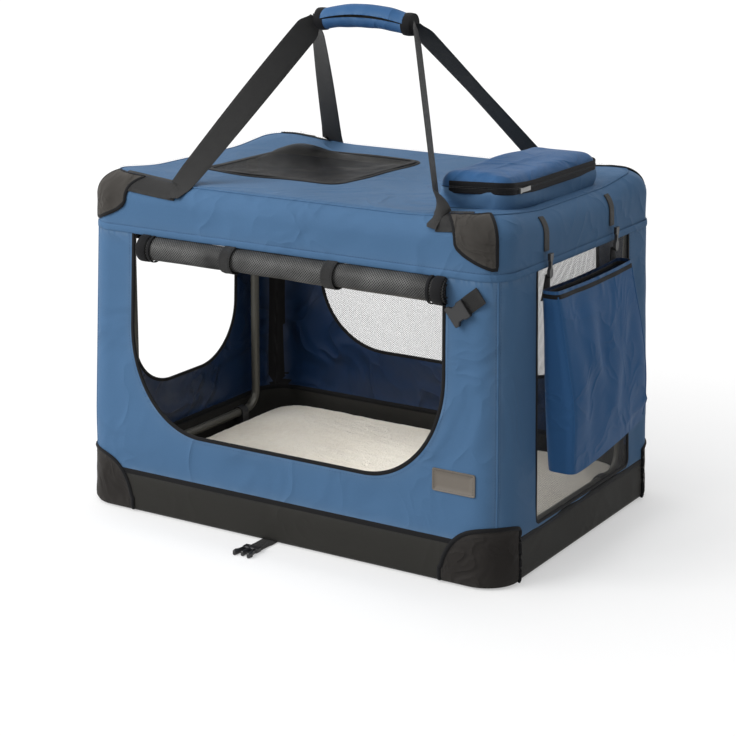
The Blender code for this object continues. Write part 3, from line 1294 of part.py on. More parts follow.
def centre_on_origin():
    """Hang the crate on an empty that brings the middle of its outer box over the origin."""
    bpy.context.view_layer.update()
    shown = [item for item in bpy.data.objects if item.type != "EMPTY" and not item.hide_render]
    corners = [item.matrix_world @ Vector(corner) for item in shown for corner in item.bound_box]
    middle_x = (min(point.x for point in corners) + max(point.x for point in corners)) / 2
    middle_y = (min(point.y for point in corners) + max(point.y for point in corners)) / 2
    loose = [item for item in bpy.data.objects if item.parent is None]
    root = add_empty("crate_origin", (0.0, 0.0, 0.0))
    for item in loose:
        item.parent = root
    root.location = (-middle_x, -middle_y, 0.0)


def build_crate():
    """The whole crate, standing open."""
    clear_scene()
    make_materials()
    roof = add_empty("roof_axis", (0.0, 0.0, SEAM_HEIGHT), None)
    left_frame = add_empty("left_end_axis", (-PIVOT_X, 0.0, PIVOT_HEIGHT), None)
    right_frame = add_empty("right_end_axis", (PIVOT_X, 0.0, PIVOT_HEIGHT), None)
    handle = add_empty("handle_axis", (GRIP_OFFSET, 0.0, HEIGHT + GRIP_HEIGHT), roof)
    lid = add_empty("bag_lid_axis", (BAG_LEFT, BAG_FRONT + BAG_WIDTH / 2, HEIGHT + BAG_BODY_HEIGHT), roof)
    door = add_empty("roof_door_axis", (ROOF_WINDOW_LEFT, 0.0, HEIGHT), roof)
    pocket = add_empty("pocket_axis", (HALF_X + POCKET_STAND_OFF + LOOP_THICKNESS, POCKET_CENTRE, LOOP_BOTTOM), roof)
    corner = add_empty("corner_buckle_axis", corner_strap_root(), roof)
    floor_y = -HALF_Y - FLOOR_STRAP_BEND - PIECE_GAP
    floor = add_empty("floor_buckle_axis", (FLOOR_STRAP_CENTRE, floor_y, PIECE_GAP + STRAP_THICKNESS))
    build_base_tray()
    build_base_frame()
    build_floor()
    build_brackets()
    build_base_patches()
    build_walls()
    build_roof_cover(roof)
    build_roof_frame(roof)
    build_snap_channels(roof)
    build_roof_patches(roof)
    build_end_frames(left_frame, right_frame)
    build_handle(roof)
    build_grip(handle)
    build_roof_bag(roof, lid)
    build_zip_slider(roof)
    build_roof_door(door)
    build_side_pocket(roof, pocket)
    build_rolled_doors(roof)
    build_corner_buckle(corner)
    build_floor_buckle(floor)
    centre_on_origin()


build_crate()
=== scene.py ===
"""Soft folding dog crate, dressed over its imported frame.

The cloth shell, nets, rolled doors, bag, pocket, mat and carrying straps are made here as curved
surfaces. The steel frame, clamps, hooks and buckles keep their built shapes and get finishes.

All lengths are metres, +Z is up, the big front opening faces -Y and the hanging pocket is at +X.
"""

import json
import logging
import math
from collections.abc import Sequence
from dataclasses import dataclass, field
from enum import Enum

import bmesh
import bpy
import numpy as np
from mathutils import Euler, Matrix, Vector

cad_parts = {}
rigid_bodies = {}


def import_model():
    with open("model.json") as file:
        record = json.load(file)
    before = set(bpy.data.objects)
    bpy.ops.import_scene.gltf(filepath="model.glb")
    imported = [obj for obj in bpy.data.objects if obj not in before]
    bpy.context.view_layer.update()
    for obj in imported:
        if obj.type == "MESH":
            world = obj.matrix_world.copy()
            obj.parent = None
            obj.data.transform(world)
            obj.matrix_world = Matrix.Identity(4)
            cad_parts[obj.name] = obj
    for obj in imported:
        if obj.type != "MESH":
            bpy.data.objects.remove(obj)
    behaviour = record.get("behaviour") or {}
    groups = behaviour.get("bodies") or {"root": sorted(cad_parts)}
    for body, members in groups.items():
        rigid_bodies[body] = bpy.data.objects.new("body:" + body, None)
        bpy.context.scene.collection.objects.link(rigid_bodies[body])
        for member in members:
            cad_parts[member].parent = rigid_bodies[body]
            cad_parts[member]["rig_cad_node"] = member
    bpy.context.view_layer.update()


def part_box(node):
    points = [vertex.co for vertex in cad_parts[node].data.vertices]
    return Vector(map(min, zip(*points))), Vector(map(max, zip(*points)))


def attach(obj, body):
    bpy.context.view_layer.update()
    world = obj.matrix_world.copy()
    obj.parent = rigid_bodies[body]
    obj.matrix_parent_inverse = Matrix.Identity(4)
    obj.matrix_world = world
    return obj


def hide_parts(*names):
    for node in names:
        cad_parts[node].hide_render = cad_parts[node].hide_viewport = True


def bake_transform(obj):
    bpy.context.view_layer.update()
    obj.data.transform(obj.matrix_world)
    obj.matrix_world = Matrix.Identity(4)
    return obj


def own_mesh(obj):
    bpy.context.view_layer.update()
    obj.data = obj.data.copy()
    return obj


Array = np.ndarray
Socket = bpy.types.NodeSocket

LOG = logging.getLogger("crate")

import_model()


# Sizes


@dataclass(frozen=True)
class CrateSize:
    """Driving sizes of the cloth shell, in metres from the middle of the floor."""

    half_x: float = 0.350
    half_y: float = 0.250
    height: float = 0.500
    seam: float = 0.427
    band: float = 0.064
    base_corner: float = 0.050
    wall_corner: float = 0.044
    roof_corner: float = 0.052
    roof_edge: float = 0.032
    base_edge: float = 0.010
    corner_blend: float = 0.090
    cloth: float = 0.0014
    base_spread: float = 1.029
    roof_spread: float = 0.978
    hand_height: float = 0.727
    corner_lift: float = 0.010
    floor_strap_x: float = -0.018

    def settle(self, points: Array, narrowed: bool) -> Array:
        """Slack shape of the shell.

        It stands wider at its base, narrower at its roof, and the frame's corners push the roof up.

        Args:
            points: Points of the straight shell.
            narrowed: Whether the piece follows the walls' taper or only the roof's lifted corners.

        Returns:
            Points of the shell as it stands.
        """
        spread = 1.0
        if narrowed:
            levels = (0.0, self.height, self.hand_height)
            shares = (self.base_spread, self.roof_spread, 1.0)
            spread = np.interp(points[:, 2], levels, shares)[:, None]
        long_share = smooth_step(0.50, 0.95, np.abs(points[:, 0]) / self.half_x)
        short_share = smooth_step(0.35, 0.90, np.abs(points[:, 1]) / self.half_y)
        near_roof = smooth_step(0.86, 0.98, points[:, 2] / self.height)
        near_roof = near_roof * (1.0 - smooth_step(1.04, 1.25, points[:, 2] / self.height))
        lift = self.corner_lift * long_share * short_share * near_roof
        return np.concatenate([points[:, :2] * spread, points[:, 2:] + lift[:, None]], axis=1)

    def corner_radius(self, height: Array) -> Array:
        """Plan radius of the shell's corners: wide at the base, tighter up the walls."""
        share = smooth_step(self.band, self.band + self.corner_blend, height)
        return self.base_corner + (self.wall_corner - self.base_corner) * share

    def loop(self, inset: Array, radius: Array) -> Array:
        """Outline of the shell in plan, drawn in by an inset."""
        return plan_loop(self.half_x - inset, self.half_y - inset, radius)

    def base_inset(self, height: Array) -> Array:
        """How far the rounded lower edge of the tray is drawn in at a height."""
        rise = np.clip(self.base_edge - np.asarray(height, float), 0.0, self.base_edge)
        return self.base_edge - np.sqrt(self.base_edge**2 - rise**2)


SIZE = CrateSize()
_tray_low, _tray_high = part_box("base_tray")
SHIFT = np.array([(_tray_low[0] + _tray_high[0]) / 2, _tray_high[1] - SIZE.half_y, 0.0])


class Side(Enum):
    """The four walls: direction to the right as seen from outside, and direction outward."""

    FRONT = ((1, 0), (0, -1))
    RIGHT = ((0, 1), (1, 0))
    REAR = ((-1, 0), (0, 1))
    LEFT = ((0, -1), (-1, 0))


class Slot(Enum):
    """Material slots of the record."""

    BLUE = "blue_fabric"
    BLACK = "black_fabric"
    PATCH = "patch_fabric"
    WEBBING = "webbing"
    NET = "net"
    FLEECE = "fleece"

CORNERS = ((-1, -1), (-1, 1), (1, -1), (1, 1))
UP = np.array([0.0, 0.0, 1.0])


# Surface mathematics


def unit(vectors: Array) -> Array:
    """Scale vectors to length one."""
    lengths = np.linalg.norm(vectors, axis=-1, keepdims=True)
    return vectors / np.maximum(lengths, 1e-12)


def smooth_step(low: float, high: float, value: Array) -> Array:
    """Rise from 0 at low to 1 at high with flat ends."""
    share = np.clip((np.asarray(value, float) - low) / (high - low), 0.0, 1.0)
    return share * share * (3.0 - 2.0 * share)


def waves(first: Array, second: Array, seed: int, length: float, count: int = 7) -> Array:
    """Soft irregular waves, about -1 to 1, from sines in fixed scattered directions.

    Args:
        first: First surface coordinate in metres.
        second: Second surface coordinate in metres.
        seed: Picks the set of directions and phases.
        length: Mean wave length in metres.
        count: How many sines are added.

    Returns:
        The height of the waves at each point.
    """
    picks = np.random.RandomState(seed)
    total = np.zeros(np.broadcast(first, second).shape)
    for _ in range(count):
        angle = picks.uniform(0.0, math.tau)
        stretch = picks.uniform(0.6, 1.7)
        phase = picks.uniform(0.0, math.tau)
        along = np.asarray(first) * math.cos(angle) + np.asarray(second) * math.sin(angle)
        total = total + np.sin(math.tau * along * stretch / length + phase)
    return total / math.sqrt(2.0 * count)


def resample(path: Array, count: int) -> Array:
    """Even points along a polyline.

    Args:
        path: Corners of the polyline, in any number of dimensions.
        count: How many points are wanted.

    Returns:
        The points.
    """
    path = np.asarray(path, float)
    steps = np.linalg.norm(np.diff(path, axis=0), axis=1)
    runs = np.concatenate([[0.0], np.cumsum(steps)])
    wanted = np.linspace(0.0, runs[-1], count)
    return np.stack([np.interp(wanted, runs, path[:, axis]) for axis in range(path.shape[1])], axis=1)


def space(across: Array, along: Array, height: Array) -> Array:
    """Points from their three coordinates, which are spread to one shape."""
    return np.stack(np.broadcast_arrays(across, along, height), axis=-1)


def joined(points: Array) -> Array:
    """Points of a ring with the first one again at the end."""
    return np.concatenate([points, points[:1]])


def grid_normals(grid: Array, closed: bool) -> Array:
    """Unit normals of a grid of points, from the steps along its rows and columns.

    Args:
        grid: Points of shape (rows, columns, 3).
        closed: Whether the columns wrap round.

    Returns:
        Normals in the grid's shape.
    """
    if closed:
        padded = np.concatenate([grid[:, -1:], grid, grid[:, :1]], axis=1)
        across = np.gradient(padded, axis=1)[:, 1:-1]
    else:
        across = np.gradient(grid, axis=1)
    return unit(np.cross(across, np.gradient(grid, axis=0)))


def plan_loop(half_x: Array, half_y: Array, radius: Array, arc: int = 16, run: int = 22) -> Array:
    """Rounded rectangle in plan, counter-clockwise, with the same stations for every size.

    Args:
        half_x: Half length, a number or a column of numbers for many loops.
        half_y: Half width, in the same form.
        radius: Corner radius, in the same form.
        arc: Steps round each corner.
        run: Steps along each straight side.

    Returns:
        Points of shape (loops, stations, 2).
    """
    half_x, half_y, radius = (np.atleast_1d(np.asarray(v, float))[:, None] for v in (half_x, half_y, radius))
    turn = np.linspace(0.0, math.pi / 2, arc, endpoint=False)[None, :]
    share = np.linspace(0.0, 1.0, run, endpoint=False)[None, :, None]
    starts = ((1, -1, -math.pi / 2), (1, 1, 0.0), (-1, 1, math.pi / 2), (-1, -1, math.pi))

    def on_arc(sign_x: int, sign_y: int, angle: Array) -> Array:
        """Points of a corner's arc at angles."""
        return np.stack([sign_x * (half_x - radius) + radius * np.cos(angle),
                         sign_y * (half_y - radius) + radius * np.sin(angle)], axis=-1)

    pieces = []
    for index, (sign_x, sign_y, start) in enumerate(starts):
        leave = on_arc(sign_x, sign_y, start + math.pi / 2)
        meet = on_arc(*starts[(index + 1) % 4])
        pieces.extend([on_arc(sign_x, sign_y, start + turn), leave + (meet - leave) * share])
    return np.concatenate(pieces, axis=1)


def raised(loops: Array, heights: Array) -> Array:
    """Plan loops lifted to one height each."""
    return np.concatenate([loops, np.broadcast_to(heights[:, None, None], (*loops.shape[:2], 1))], axis=-1)


def corner_name(stem: str, sign_x: int, sign_y: int) -> str:
    """Name of a piece at one of the four corners."""
    return f"{stem}_{'front' if sign_y < 0 else 'rear'}_{'left' if sign_x < 0 else 'right'}"


def oval(width: float, depth: float, count: int = 10, power: float = 1.0) -> Array:
    """Closed section: a flattened round whose sine and cosine are raised to a power.

    Args:
        width: Size across the path.
        depth: Size outward.
        count: How many points it has.
        power: 1 for an ellipse, less for a squarer form.

    Returns:
        Points of the section.
    """
    angle = np.linspace(0.0, math.tau, count, endpoint=False)
    cosine, sine = np.cos(angle), np.sin(angle)
    return np.stack([np.sign(cosine) * np.abs(cosine) ** power * width / 2,
                     np.sign(sine) * np.abs(sine) ** power * depth / 2], axis=1)


def tape_section(width: float, thickness: float, count: int = 9) -> Array:
    """Closed section of flat tape with soft edges and slightly thicker selvedges.

    Args:
        width: Width of the tape.
        thickness: Its thickness.
        count: Points across each face.

    Returns:
        Points of the section.
    """
    across = np.linspace(-1.0, 1.0, count)
    selvedge = 1.0 + 0.18 * smooth_step(0.78, 0.92, np.abs(across))
    ends = np.sqrt(np.clip(1.0 - np.clip((np.abs(across) - 0.95) / 0.05, 0, 1) ** 2, 0.12, 1.0))
    top = np.stack([across * width / 2, thickness / 2 * selvedge * ends], axis=1)
    return np.concatenate([top[::-1], top * np.array([1.0, -1.0])])


def wall_place(side: Side, along: Array, out: Array, height: Array) -> Array:
    """Put wall coordinates in space: along the wall, outward from the crate's middle, and up."""
    (along_x, along_y), (out_x, out_y) = side.value
    return space(along * along_x + out * out_x, along * along_y + out * out_y, height)


def wall_halves(side: Side) -> tuple[float, float]:
    """Half length of a wall and how far out it stands."""
    halves = (SIZE.half_x, SIZE.half_y)
    return halves if side in (Side.FRONT, Side.REAR) else halves[::-1]


def wall_reach(side: Side, height: Array) -> Array:
    """Run from a wall's middle to its corner seam: the straight part and an eighth of a turn."""
    radius = SIZE.corner_radius(height)
    return wall_halves(side)[0] - radius + radius * math.pi / 4


def wall_point(side: Side, run: Array, height: Array, outset: Array = 0.0) -> Array:
    """Point on the shell at a run from the wall's middle; it goes round the vertical corner.

    Args:
        side: Which wall.
        run: Distance along the cloth from the wall's middle, positive to the right.
        height: Height over the floor.
        outset: Distance outside the shell's surface.

    Returns:
        Points in space.
    """
    long_half, depth = wall_halves(side)
    run, height, outset = np.broadcast_arrays(*(np.asarray(v, float) for v in (run, height, outset)))
    radius = SIZE.corner_radius(height)
    straight = long_half - radius
    angle = np.clip((np.abs(run) - straight) / radius, 0.0, math.pi / 2)
    along = np.minimum(np.abs(run), straight) + (radius + outset) * np.sin(angle)
    out = depth - radius + (radius + outset) * np.cos(angle)
    return wall_place(side, np.sign(run) * along, out, height)


def wall_normal(side: Side, run: Array, height: Array) -> Array:
    """Outward direction of the shell at a run and height."""
    return unit(wall_point(side, run, height, 0.01) - wall_point(side, run, height, 0.0))


# Mesh maker


class Form:
    """Grids, fans and sweeps gathered for one closed mesh."""

    def __init__(self) -> None:
        """Start with no faces."""
        self._points: list[Array] = []
        self._wear: list[Array] = []
        self._faces: list[Array] = []
        self._uvs: list[Array] = []
        self._slots: list[Array] = []
        self._count = 0

    def _keep(self, points: Array, wear: Array) -> int:
        """Store points.

        Args:
            points: The points, in a grid of any shape.
            wear: Rubbed share of each one.

        Returns:
            Number of the first one.
        """
        first = self._count
        self._points.append(points.reshape(-1, 3))
        self._wear.append(np.asarray(wear, float).reshape(-1))
        self._count += self._points[-1].shape[0]
        return first

    def grid(self, rows: Array, slot: int | Array = 0, closed: bool = False, flip: bool = False,
             uv: Array | None = None, wear: Array | None = None) -> None:
        """Add a grid of quads.

        Args:
            rows: Points of shape (rows, columns, 3).
            slot: Material index, one number or one for each quad.
            closed: Whether the columns wrap round.
            flip: Whether the faces look the other way.
            uv: Cloth coordinates in metres; by default run lengths.
            wear: Rubbed share of each point, 0 to 1.
        """
        count, width, _ = rows.shape
        first = self._keep(rows, np.zeros((count, width)) if wear is None else wear)
        index = np.arange(count * width).reshape(count, width) + first
        if uv is None:
            whole = np.concatenate([rows, rows[:, :1]], axis=1) if closed else rows
            along = np.linalg.norm(np.diff(whole, axis=1), axis=-1).mean(axis=0)
            up = np.linalg.norm(np.diff(whole, axis=0), axis=-1).mean(axis=1)
            across = np.concatenate([[0.0], np.cumsum(along)])
            rise = np.concatenate([[0.0], np.cumsum(up)])
            uv = np.stack(np.meshgrid(across, rise), axis=-1)
        elif closed:
            uv = np.concatenate([uv, uv[:, :1]], axis=1)
        if closed:
            index = np.concatenate([index, index[:, :1]], axis=1)
        corners = ((slice(None, -1), slice(None, -1)), (slice(None, -1), slice(1, None)),
                   (slice(1, None), slice(1, None)), (slice(1, None), slice(None, -1)))
        quads = np.stack([index[c] for c in corners], axis=-1).reshape(-1, 4)
        quad_uv = np.stack([uv[c] for c in corners], axis=-2).reshape(-1, 4, 2)
        if flip:
            quads, quad_uv = quads[:, ::-1], quad_uv[:, ::-1]
        self._faces.append(quads)
        self._uvs.append(quad_uv)
        self._slots.append(np.broadcast_to(np.asarray(slot).reshape(-1), (quads.shape[0],)).copy())

    def fan(self, ring: Array, slot: int = 0, flip: bool = False) -> None:
        """Close a ring of points with triangles round its centre.

        Args:
            ring: Points of the ring.
            slot: Material index.
            flip: Whether the faces look the other way.
        """
        middle = ring.mean(axis=0)
        first = self._keep(np.concatenate([ring, middle[None]]), np.zeros(len(ring) + 1))
        ids = np.arange(len(ring)) + first
        faces = np.stack([ids, np.roll(ids, -1), np.full(len(ring), first + len(ring))], axis=-1)
        flat = ring[:, :2] - middle[:2] + (ring[:, 2:] - middle[2])
        uvs = np.stack([flat, np.roll(flat, -1, axis=0), np.zeros_like(flat)], axis=1)
        if flip:
            faces, uvs = faces[:, ::-1], uvs[:, ::-1]
        self._faces.append(faces)
        self._uvs.append(uvs)
        self._slots.append(np.full(len(ring), slot))

    def shell(self, outer: Array, thickness: float, slots: tuple[int, int, int] = (0, 0, 0),
              closed: bool = False, inner_slot: Array | None = None, uv: Array | None = None,
              worn: float = 0.006, fans: tuple[bool, bool] = (False, False)) -> None:
        """Add a sheet with two faces and a closed rim.

        Args:
            outer: Grid of the outer face; its normals look outward.
            thickness: Distance to the inner face.
            slots: Material index of the outer face, inner face and rim.
            closed: Whether the columns wrap round.
            inner_slot: Material index for each inner quad.
            uv: Cloth coordinates in metres.
            worn: Width of the rubbed margin along the rims.
            fans: Whether the first and the last row shrink to a point, closed by fans.
        """
        inner = outer - grid_normals(outer, closed) * thickness
        wear = self._margin(outer, closed, worn, fans)
        self.grid(outer, slots[0], closed, False, uv, wear)
        self.grid(inner, slots[1] if inner_slot is None else inner_slot, closed, True, uv, wear)
        for row, fan, turned in ((0, fans[0], True), (-1, fans[1], False)):
            if fan:
                self.fan(outer[row], slots[0], turned)
                self.fan(inner[row], slots[1], not turned)
            else:
                self.grid(np.stack([outer[row], inner[row]]), slots[2], closed, turned)
        if not closed:
            self.grid(np.stack([outer[:, 0], inner[:, 0]]), slots[2], False, False)
            self.grid(np.stack([outer[:, -1], inner[:, -1]]), slots[2], False, True)

    @staticmethod
    def _margin(grid: Array, closed: bool, worn: float, fans: tuple[bool, bool]) -> Array:
        """Rubbed share of a grid's points, which falls off with their distance from its open rims.

        Args:
            grid: Points of the grid.
            closed: Whether the columns wrap round.
            worn: Distance in which the share falls to about a third.
            fans: Whether the first and the last row aren't open.

        Returns:
            Shares in the shape of the grid.
        """
        rise = np.linalg.norm(np.diff(grid, axis=0), axis=-1)
        low = np.concatenate([np.zeros((1, grid.shape[1])), np.cumsum(rise, axis=0)])
        away = np.full(low.shape, 9.0)
        if not fans[0]:
            away = np.minimum(away, low)
        if not fans[1]:
            away = np.minimum(away, low[-1:] - low)
        if not closed:
            run = np.linalg.norm(np.diff(grid, axis=1), axis=-1)
            left = np.concatenate([np.zeros((grid.shape[0], 1)), np.cumsum(run, axis=1)], axis=1)
            away = np.minimum(away, np.minimum(left, left[:, -1:] - left))
        return np.exp(-away / worn)

    def sweep(self, path: Array, normals: Array, section: Array, slot: int = 0, closed: bool = False,
              scale: Array | None = None) -> None:
        """Carry a closed section along a path.

        Args:
            path: Points of the route.
            normals: Outward direction at each point, or one for all.
            section: Closed outline of (across, outward) points, counter-clockwise.
            slot: Material index.
            closed: Whether the path joins its own start.
            scale: Size share of the section at each point.
        """
        path = np.asarray(path, float)
        normals = np.broadcast_to(np.asarray(normals, float), path.shape)
        if closed:
            tangent = unit(np.roll(path, -1, axis=0) - np.roll(path, 1, axis=0))
        else:
            tangent = unit(np.gradient(path, axis=0))
        across = unit(np.cross(tangent, normals))
        out = np.cross(across, tangent)
        shares = np.ones(len(path)) if scale is None else np.asarray(scale, float)
        spread = section[None, :, :] * shares[:, None, None]
        rings = path[:, None, :] + across[:, None, :] * spread[..., :1] + out[:, None, :] * spread[..., 1:]
        if closed:
            rings = np.concatenate([rings, rings[:1]])
        self.grid(rings, slot, True)
        if not closed:
            self.fan(rings[0], slot, True)
            self.fan(rings[-1], slot, False)

    def stitches(self, path: Array, normals: Array, slot: int = 0, pitch: float = 0.0045,
                 length: float = 0.0031, thread: float = 0.0006) -> None:
        """Add a row of thread stitches: one slim eight-sided lozenge for each.

        Args:
            path: Route of the seam.
            normals: Outward direction at each point, or one for all.
            slot: Material index.
            pitch: Distance from stitch to stitch.
            length: Length of one stitch.
            thread: Thickness of the thread.
        """
        path = np.asarray(path, float)
        normals = np.broadcast_to(np.asarray(normals, float), path.shape)
        total = np.linalg.norm(np.diff(path, axis=0), axis=1).sum()
        count = max(2, int(total / pitch))
        both = resample(np.concatenate([path, normals * 1e-6], axis=1), 2 * count + 1)[1::2]
        centre, out = both[:, :3], unit(both[:, 3:])
        tangent = unit(np.gradient(centre, axis=0))
        side = unit(np.cross(tangent, out)) * thread / 2
        out = out * thread / 2
        ahead = tangent * length / 2
        tips = (-ahead, side, out, -side, -out, ahead)
        points = np.stack([centre + tip for tip in tips], axis=1)
        waist = ((1, 2), (2, 3), (3, 4), (4, 1))
        pattern = np.array([(0, b, a) for a, b in waist] + [(5, a, b) for a, b in waist])
        first = self._keep(points, np.zeros((len(centre), 6)))
        faces = (pattern[None] + (np.arange(len(centre)) * 6)[:, None, None] + first).reshape(-1, 3)
        self._faces.append(faces)
        self._uvs.append(np.zeros((len(faces), 3, 2)))
        self._slots.append(np.full(len(faces), slot))

    def build(self, name: str, finishes: Sequence[bpy.types.Material], sharp: float = 50.0,
              spread: bool = True) -> bpy.types.Object:
        """Make the object: weld the seams, turn the faces outward and set the finishes.

        Args:
            name: Name of the piece.
            finishes: Materials in the order of the slots.
            sharp: Angle in degrees from which an edge shows as sharp.
            spread: Whether the piece follows the slack shell, wider at its base than at its roof.

        Returns:
            The new object, at the origin.
        """
        points = SIZE.settle(np.concatenate(self._points), spread) + SHIFT
        sizes = np.concatenate([np.full(len(f), f.shape[1]) for f in self._faces])
        loops = np.concatenate([f.reshape(-1) for f in self._faces])
        uvs = np.concatenate([u.reshape(-1, 2) for u in self._uvs])
        starts = np.concatenate([[0], np.cumsum(sizes)[:-1]])
        mesh = bpy.data.meshes.new(name)
        mesh.vertices.add(len(points))
        mesh.vertices.foreach_set("co", points.reshape(-1))
        mesh.loops.add(len(loops))
        mesh.loops.foreach_set("vertex_index", loops.astype(np.int32))
        mesh.polygons.add(len(sizes))
        whole = {"loop_start": starts, "loop_total": sizes, "material_index": np.concatenate(self._slots)}
        for label, numbers in whole.items():
            mesh.polygons.foreach_set(label, numbers.astype(np.int32))
        layer = mesh.uv_layers.new(name="cloth")
        layer.data.foreach_set("uv", uvs.reshape(-1))
        rubbed = mesh.attributes.new("wear", "FLOAT", "POINT")
        rubbed.data.foreach_set("value", np.concatenate(self._wear))
        mesh.update(calc_edges=True)
        mesh.validate()
        work = bmesh.new()
        work.from_mesh(mesh)
        bmesh.ops.remove_doubles(work, verts=work.verts, dist=1e-6)
        bmesh.ops.recalc_face_normals(work, faces=work.faces)
        if work.calc_volume(signed=True) < 0:
            bmesh.ops.reverse_faces(work, faces=work.faces)
        work.to_mesh(mesh)
        work.free()
        mesh.polygons.foreach_set("use_smooth", np.ones(len(mesh.polygons), bool))
        mesh.set_sharp_from_angle(angle=math.radians(sharp))
        for finish in finishes:
            mesh.materials.append(finish)
        item = bpy.data.objects.new(name, mesh)
        bpy.context.scene.collection.objects.link(item)
        return item


# Shader graphs


GROUPS: dict[str, bpy.types.NodeTree] = {}
Colour = tuple[float, float, float]


def rgba(colour: Colour) -> tuple[float, float, float, float]:
    """Colour with full cover."""
    return (*colour, 1.0)


def paler(colour: Colour, factor: float) -> Colour:
    """Colour as it looks where it is rubbed."""
    return tuple(min(1.0, part * factor + 0.02) for part in colour)


class Graph:
    """Short calls to add and join nodes in one tree."""

    def __init__(self, tree: bpy.types.NodeTree) -> None:
        """Work on a node tree."""
        self.tree = tree

    def put(self, socket: Socket, value: object) -> None:
        """Join a socket to another one, or set its value.

        Args:
            socket: Input of a node.
            value: Output of another node, or a plain value.
        """
        if isinstance(value, bpy.types.NodeSocket):
            self.tree.links.new(value, socket)
        else:
            socket.default_value = value

    def add(self, kind: str, inputs: dict[str | int, object] | None = None,
            **settings: object) -> bpy.types.Node:
        """Add a node.

        Args:
            kind: Its type.
            inputs: What goes into its inputs, by name or number.
            **settings: Its other properties.

        Returns:
            The node.
        """
        node = self.tree.nodes.new(kind)
        for key, value in settings.items():
            setattr(node, key, value)
        for key, value in (inputs or {}).items():
            self.put(node.inputs[key], value)
        return node

    def shared(self, name: str, inputs: dict[str, object]) -> list[Socket]:
        """Outputs of one of the shared groups."""
        return self.add("ShaderNodeGroup", inputs, node_tree=GROUPS[name]).outputs[:]

    def math(self, operation: str, *values: Socket | float) -> Socket:
        """Result of one math step."""
        return self.add("ShaderNodeMath", dict(enumerate(values)), operation=operation).outputs[0]

    def scaled(self, value: Socket, factor: Socket | float, more: Socket | float) -> Socket:
        """A value times a factor, and something more."""
        return self.math("MULTIPLY_ADD", value, factor, more)

    def mix(self, share: Socket | float, first: object, second: object) -> Socket:
        """Blend of two colours."""
        return self.add("ShaderNodeMix", {0: share, 6: first, 7: second}, data_type="RGBA").outputs[2]

    def noise(self, vector: Socket, scale: float, detail: float = 3.0, distortion: float = 0.0) -> Socket:
        """Grey noise, about 0 to 1."""
        wanted = {"Vector": vector, "Scale": scale, "Detail": detail, "Distortion": distortion}
        return self.add("ShaderNodeTexNoise", wanted).outputs[0]

    def bump(self, height: Socket, distance: float, under: Socket | None = None,
             strength: float = 1.0) -> Socket:
        """Normal of a relief.

        Args:
            height: Relief, 0 to 1.
            distance: Its depth in metres.
            under: Normal of a coarser relief below it.
            strength: Share of the relief that shows.

        Returns:
            The normal.
        """
        wanted = {"Height": height, "Distance": distance, "Strength": strength}
        if under is not None:
            wanted["Normal"] = under
        return self.add("ShaderNodeBump", wanted).outputs[0]


def open_group(name: str, inputs: dict[str, str], outputs: dict[str, str]) -> tuple[Graph, list[Socket]]:
    """Start a shared node group.

    Args:
        name: Name of the group.
        inputs: Input name to its kind.
        outputs: Output name to its kind.

    Returns:
        The group's graph and its inputs in order.
    """
    group = bpy.data.node_groups.new(name, "ShaderNodeTree")
    for way, sockets in (("INPUT", inputs), ("OUTPUT", outputs)):
        for label, kind in sockets.items():
            group.interface.new_socket(label, in_out=way, socket_type="NodeSocket" + kind)
    GROUPS[name] = group
    graph = Graph(group)
    return graph, graph.add("NodeGroupInput").outputs[:len(inputs)]


def weave_group() -> None:
    """Over-and-under relief of plain woven cloth: a sine across times a sine along."""
    sockets = {"Vector": "Vector", "Threads": "Float"}
    graph, (place, threads) = open_group("weave", sockets, {"Height": "Float"})
    turns = graph.math("MULTIPLY", threads, math.pi)
    warp, weft = (graph.math("SINE", graph.math("MULTIPLY", run, turns))
                  for run in graph.add("ShaderNodeSeparateXYZ", {0: place}).outputs[:2])
    relief = graph.scaled(graph.math("MULTIPLY", warp, weft), 0.5, 0.5)
    graph.add("NodeGroupOutput", {"Height": relief})


def crumple_group() -> None:
    """Relief of coated cloth that has been folded: broad dents with sharp crests between them."""
    graph, (place, scale) = open_group("crumple", {"Vector": "Vector", "Scale": "Float"}, {"Height": "Float"})
    broad = graph.noise(place, scale, 2.0, 0.9)
    crest = graph.math("ABSOLUTE", graph.scaled(broad, 2.0, -1.0))
    sharp = graph.math("POWER", graph.math("SUBTRACT", 1.0, crest), 5.0)
    graph.add("NodeGroupOutput", {"Height": graph.scaled(sharp, 0.45, broad)})


def dye_group() -> None:
    """Uneven dye and rubbed margins: the colour drifts, and goes paler and dustier where worn."""
    sockets = {"Vector": "Vector", "Colour": "Color", "Rubbed": "Color", "Drift": "Float", "Wear": "Float"}
    graph, given = open_group("dye", sockets, {"Colour": "Color", "Mask": "Float"})
    place, colour, rubbed, drift, wear = given
    both = graph.scaled(graph.noise(place, 420.0, 2.0), 0.35, graph.noise(place, 5.0))
    value = graph.scaled(graph.math("SUBTRACT", both, 0.67), drift, 1.0)
    drifted = graph.add("ShaderNodeHueSaturation", {"Color": colour, "Value": value}).outputs[0]
    patchy = graph.math("MULTIPLY", graph.noise(place, 60.0, 4.0), 1.4)
    mask = graph.add("ShaderNodeMath", {0: wear, 1: patchy}, operation="MULTIPLY", use_clamp=True).outputs[0]
    worn = graph.mix(graph.math("MULTIPLY", mask, 0.55), drifted, rubbed)
    graph.add("NodeGroupOutput", {"Colour": worn, "Mask": mask})


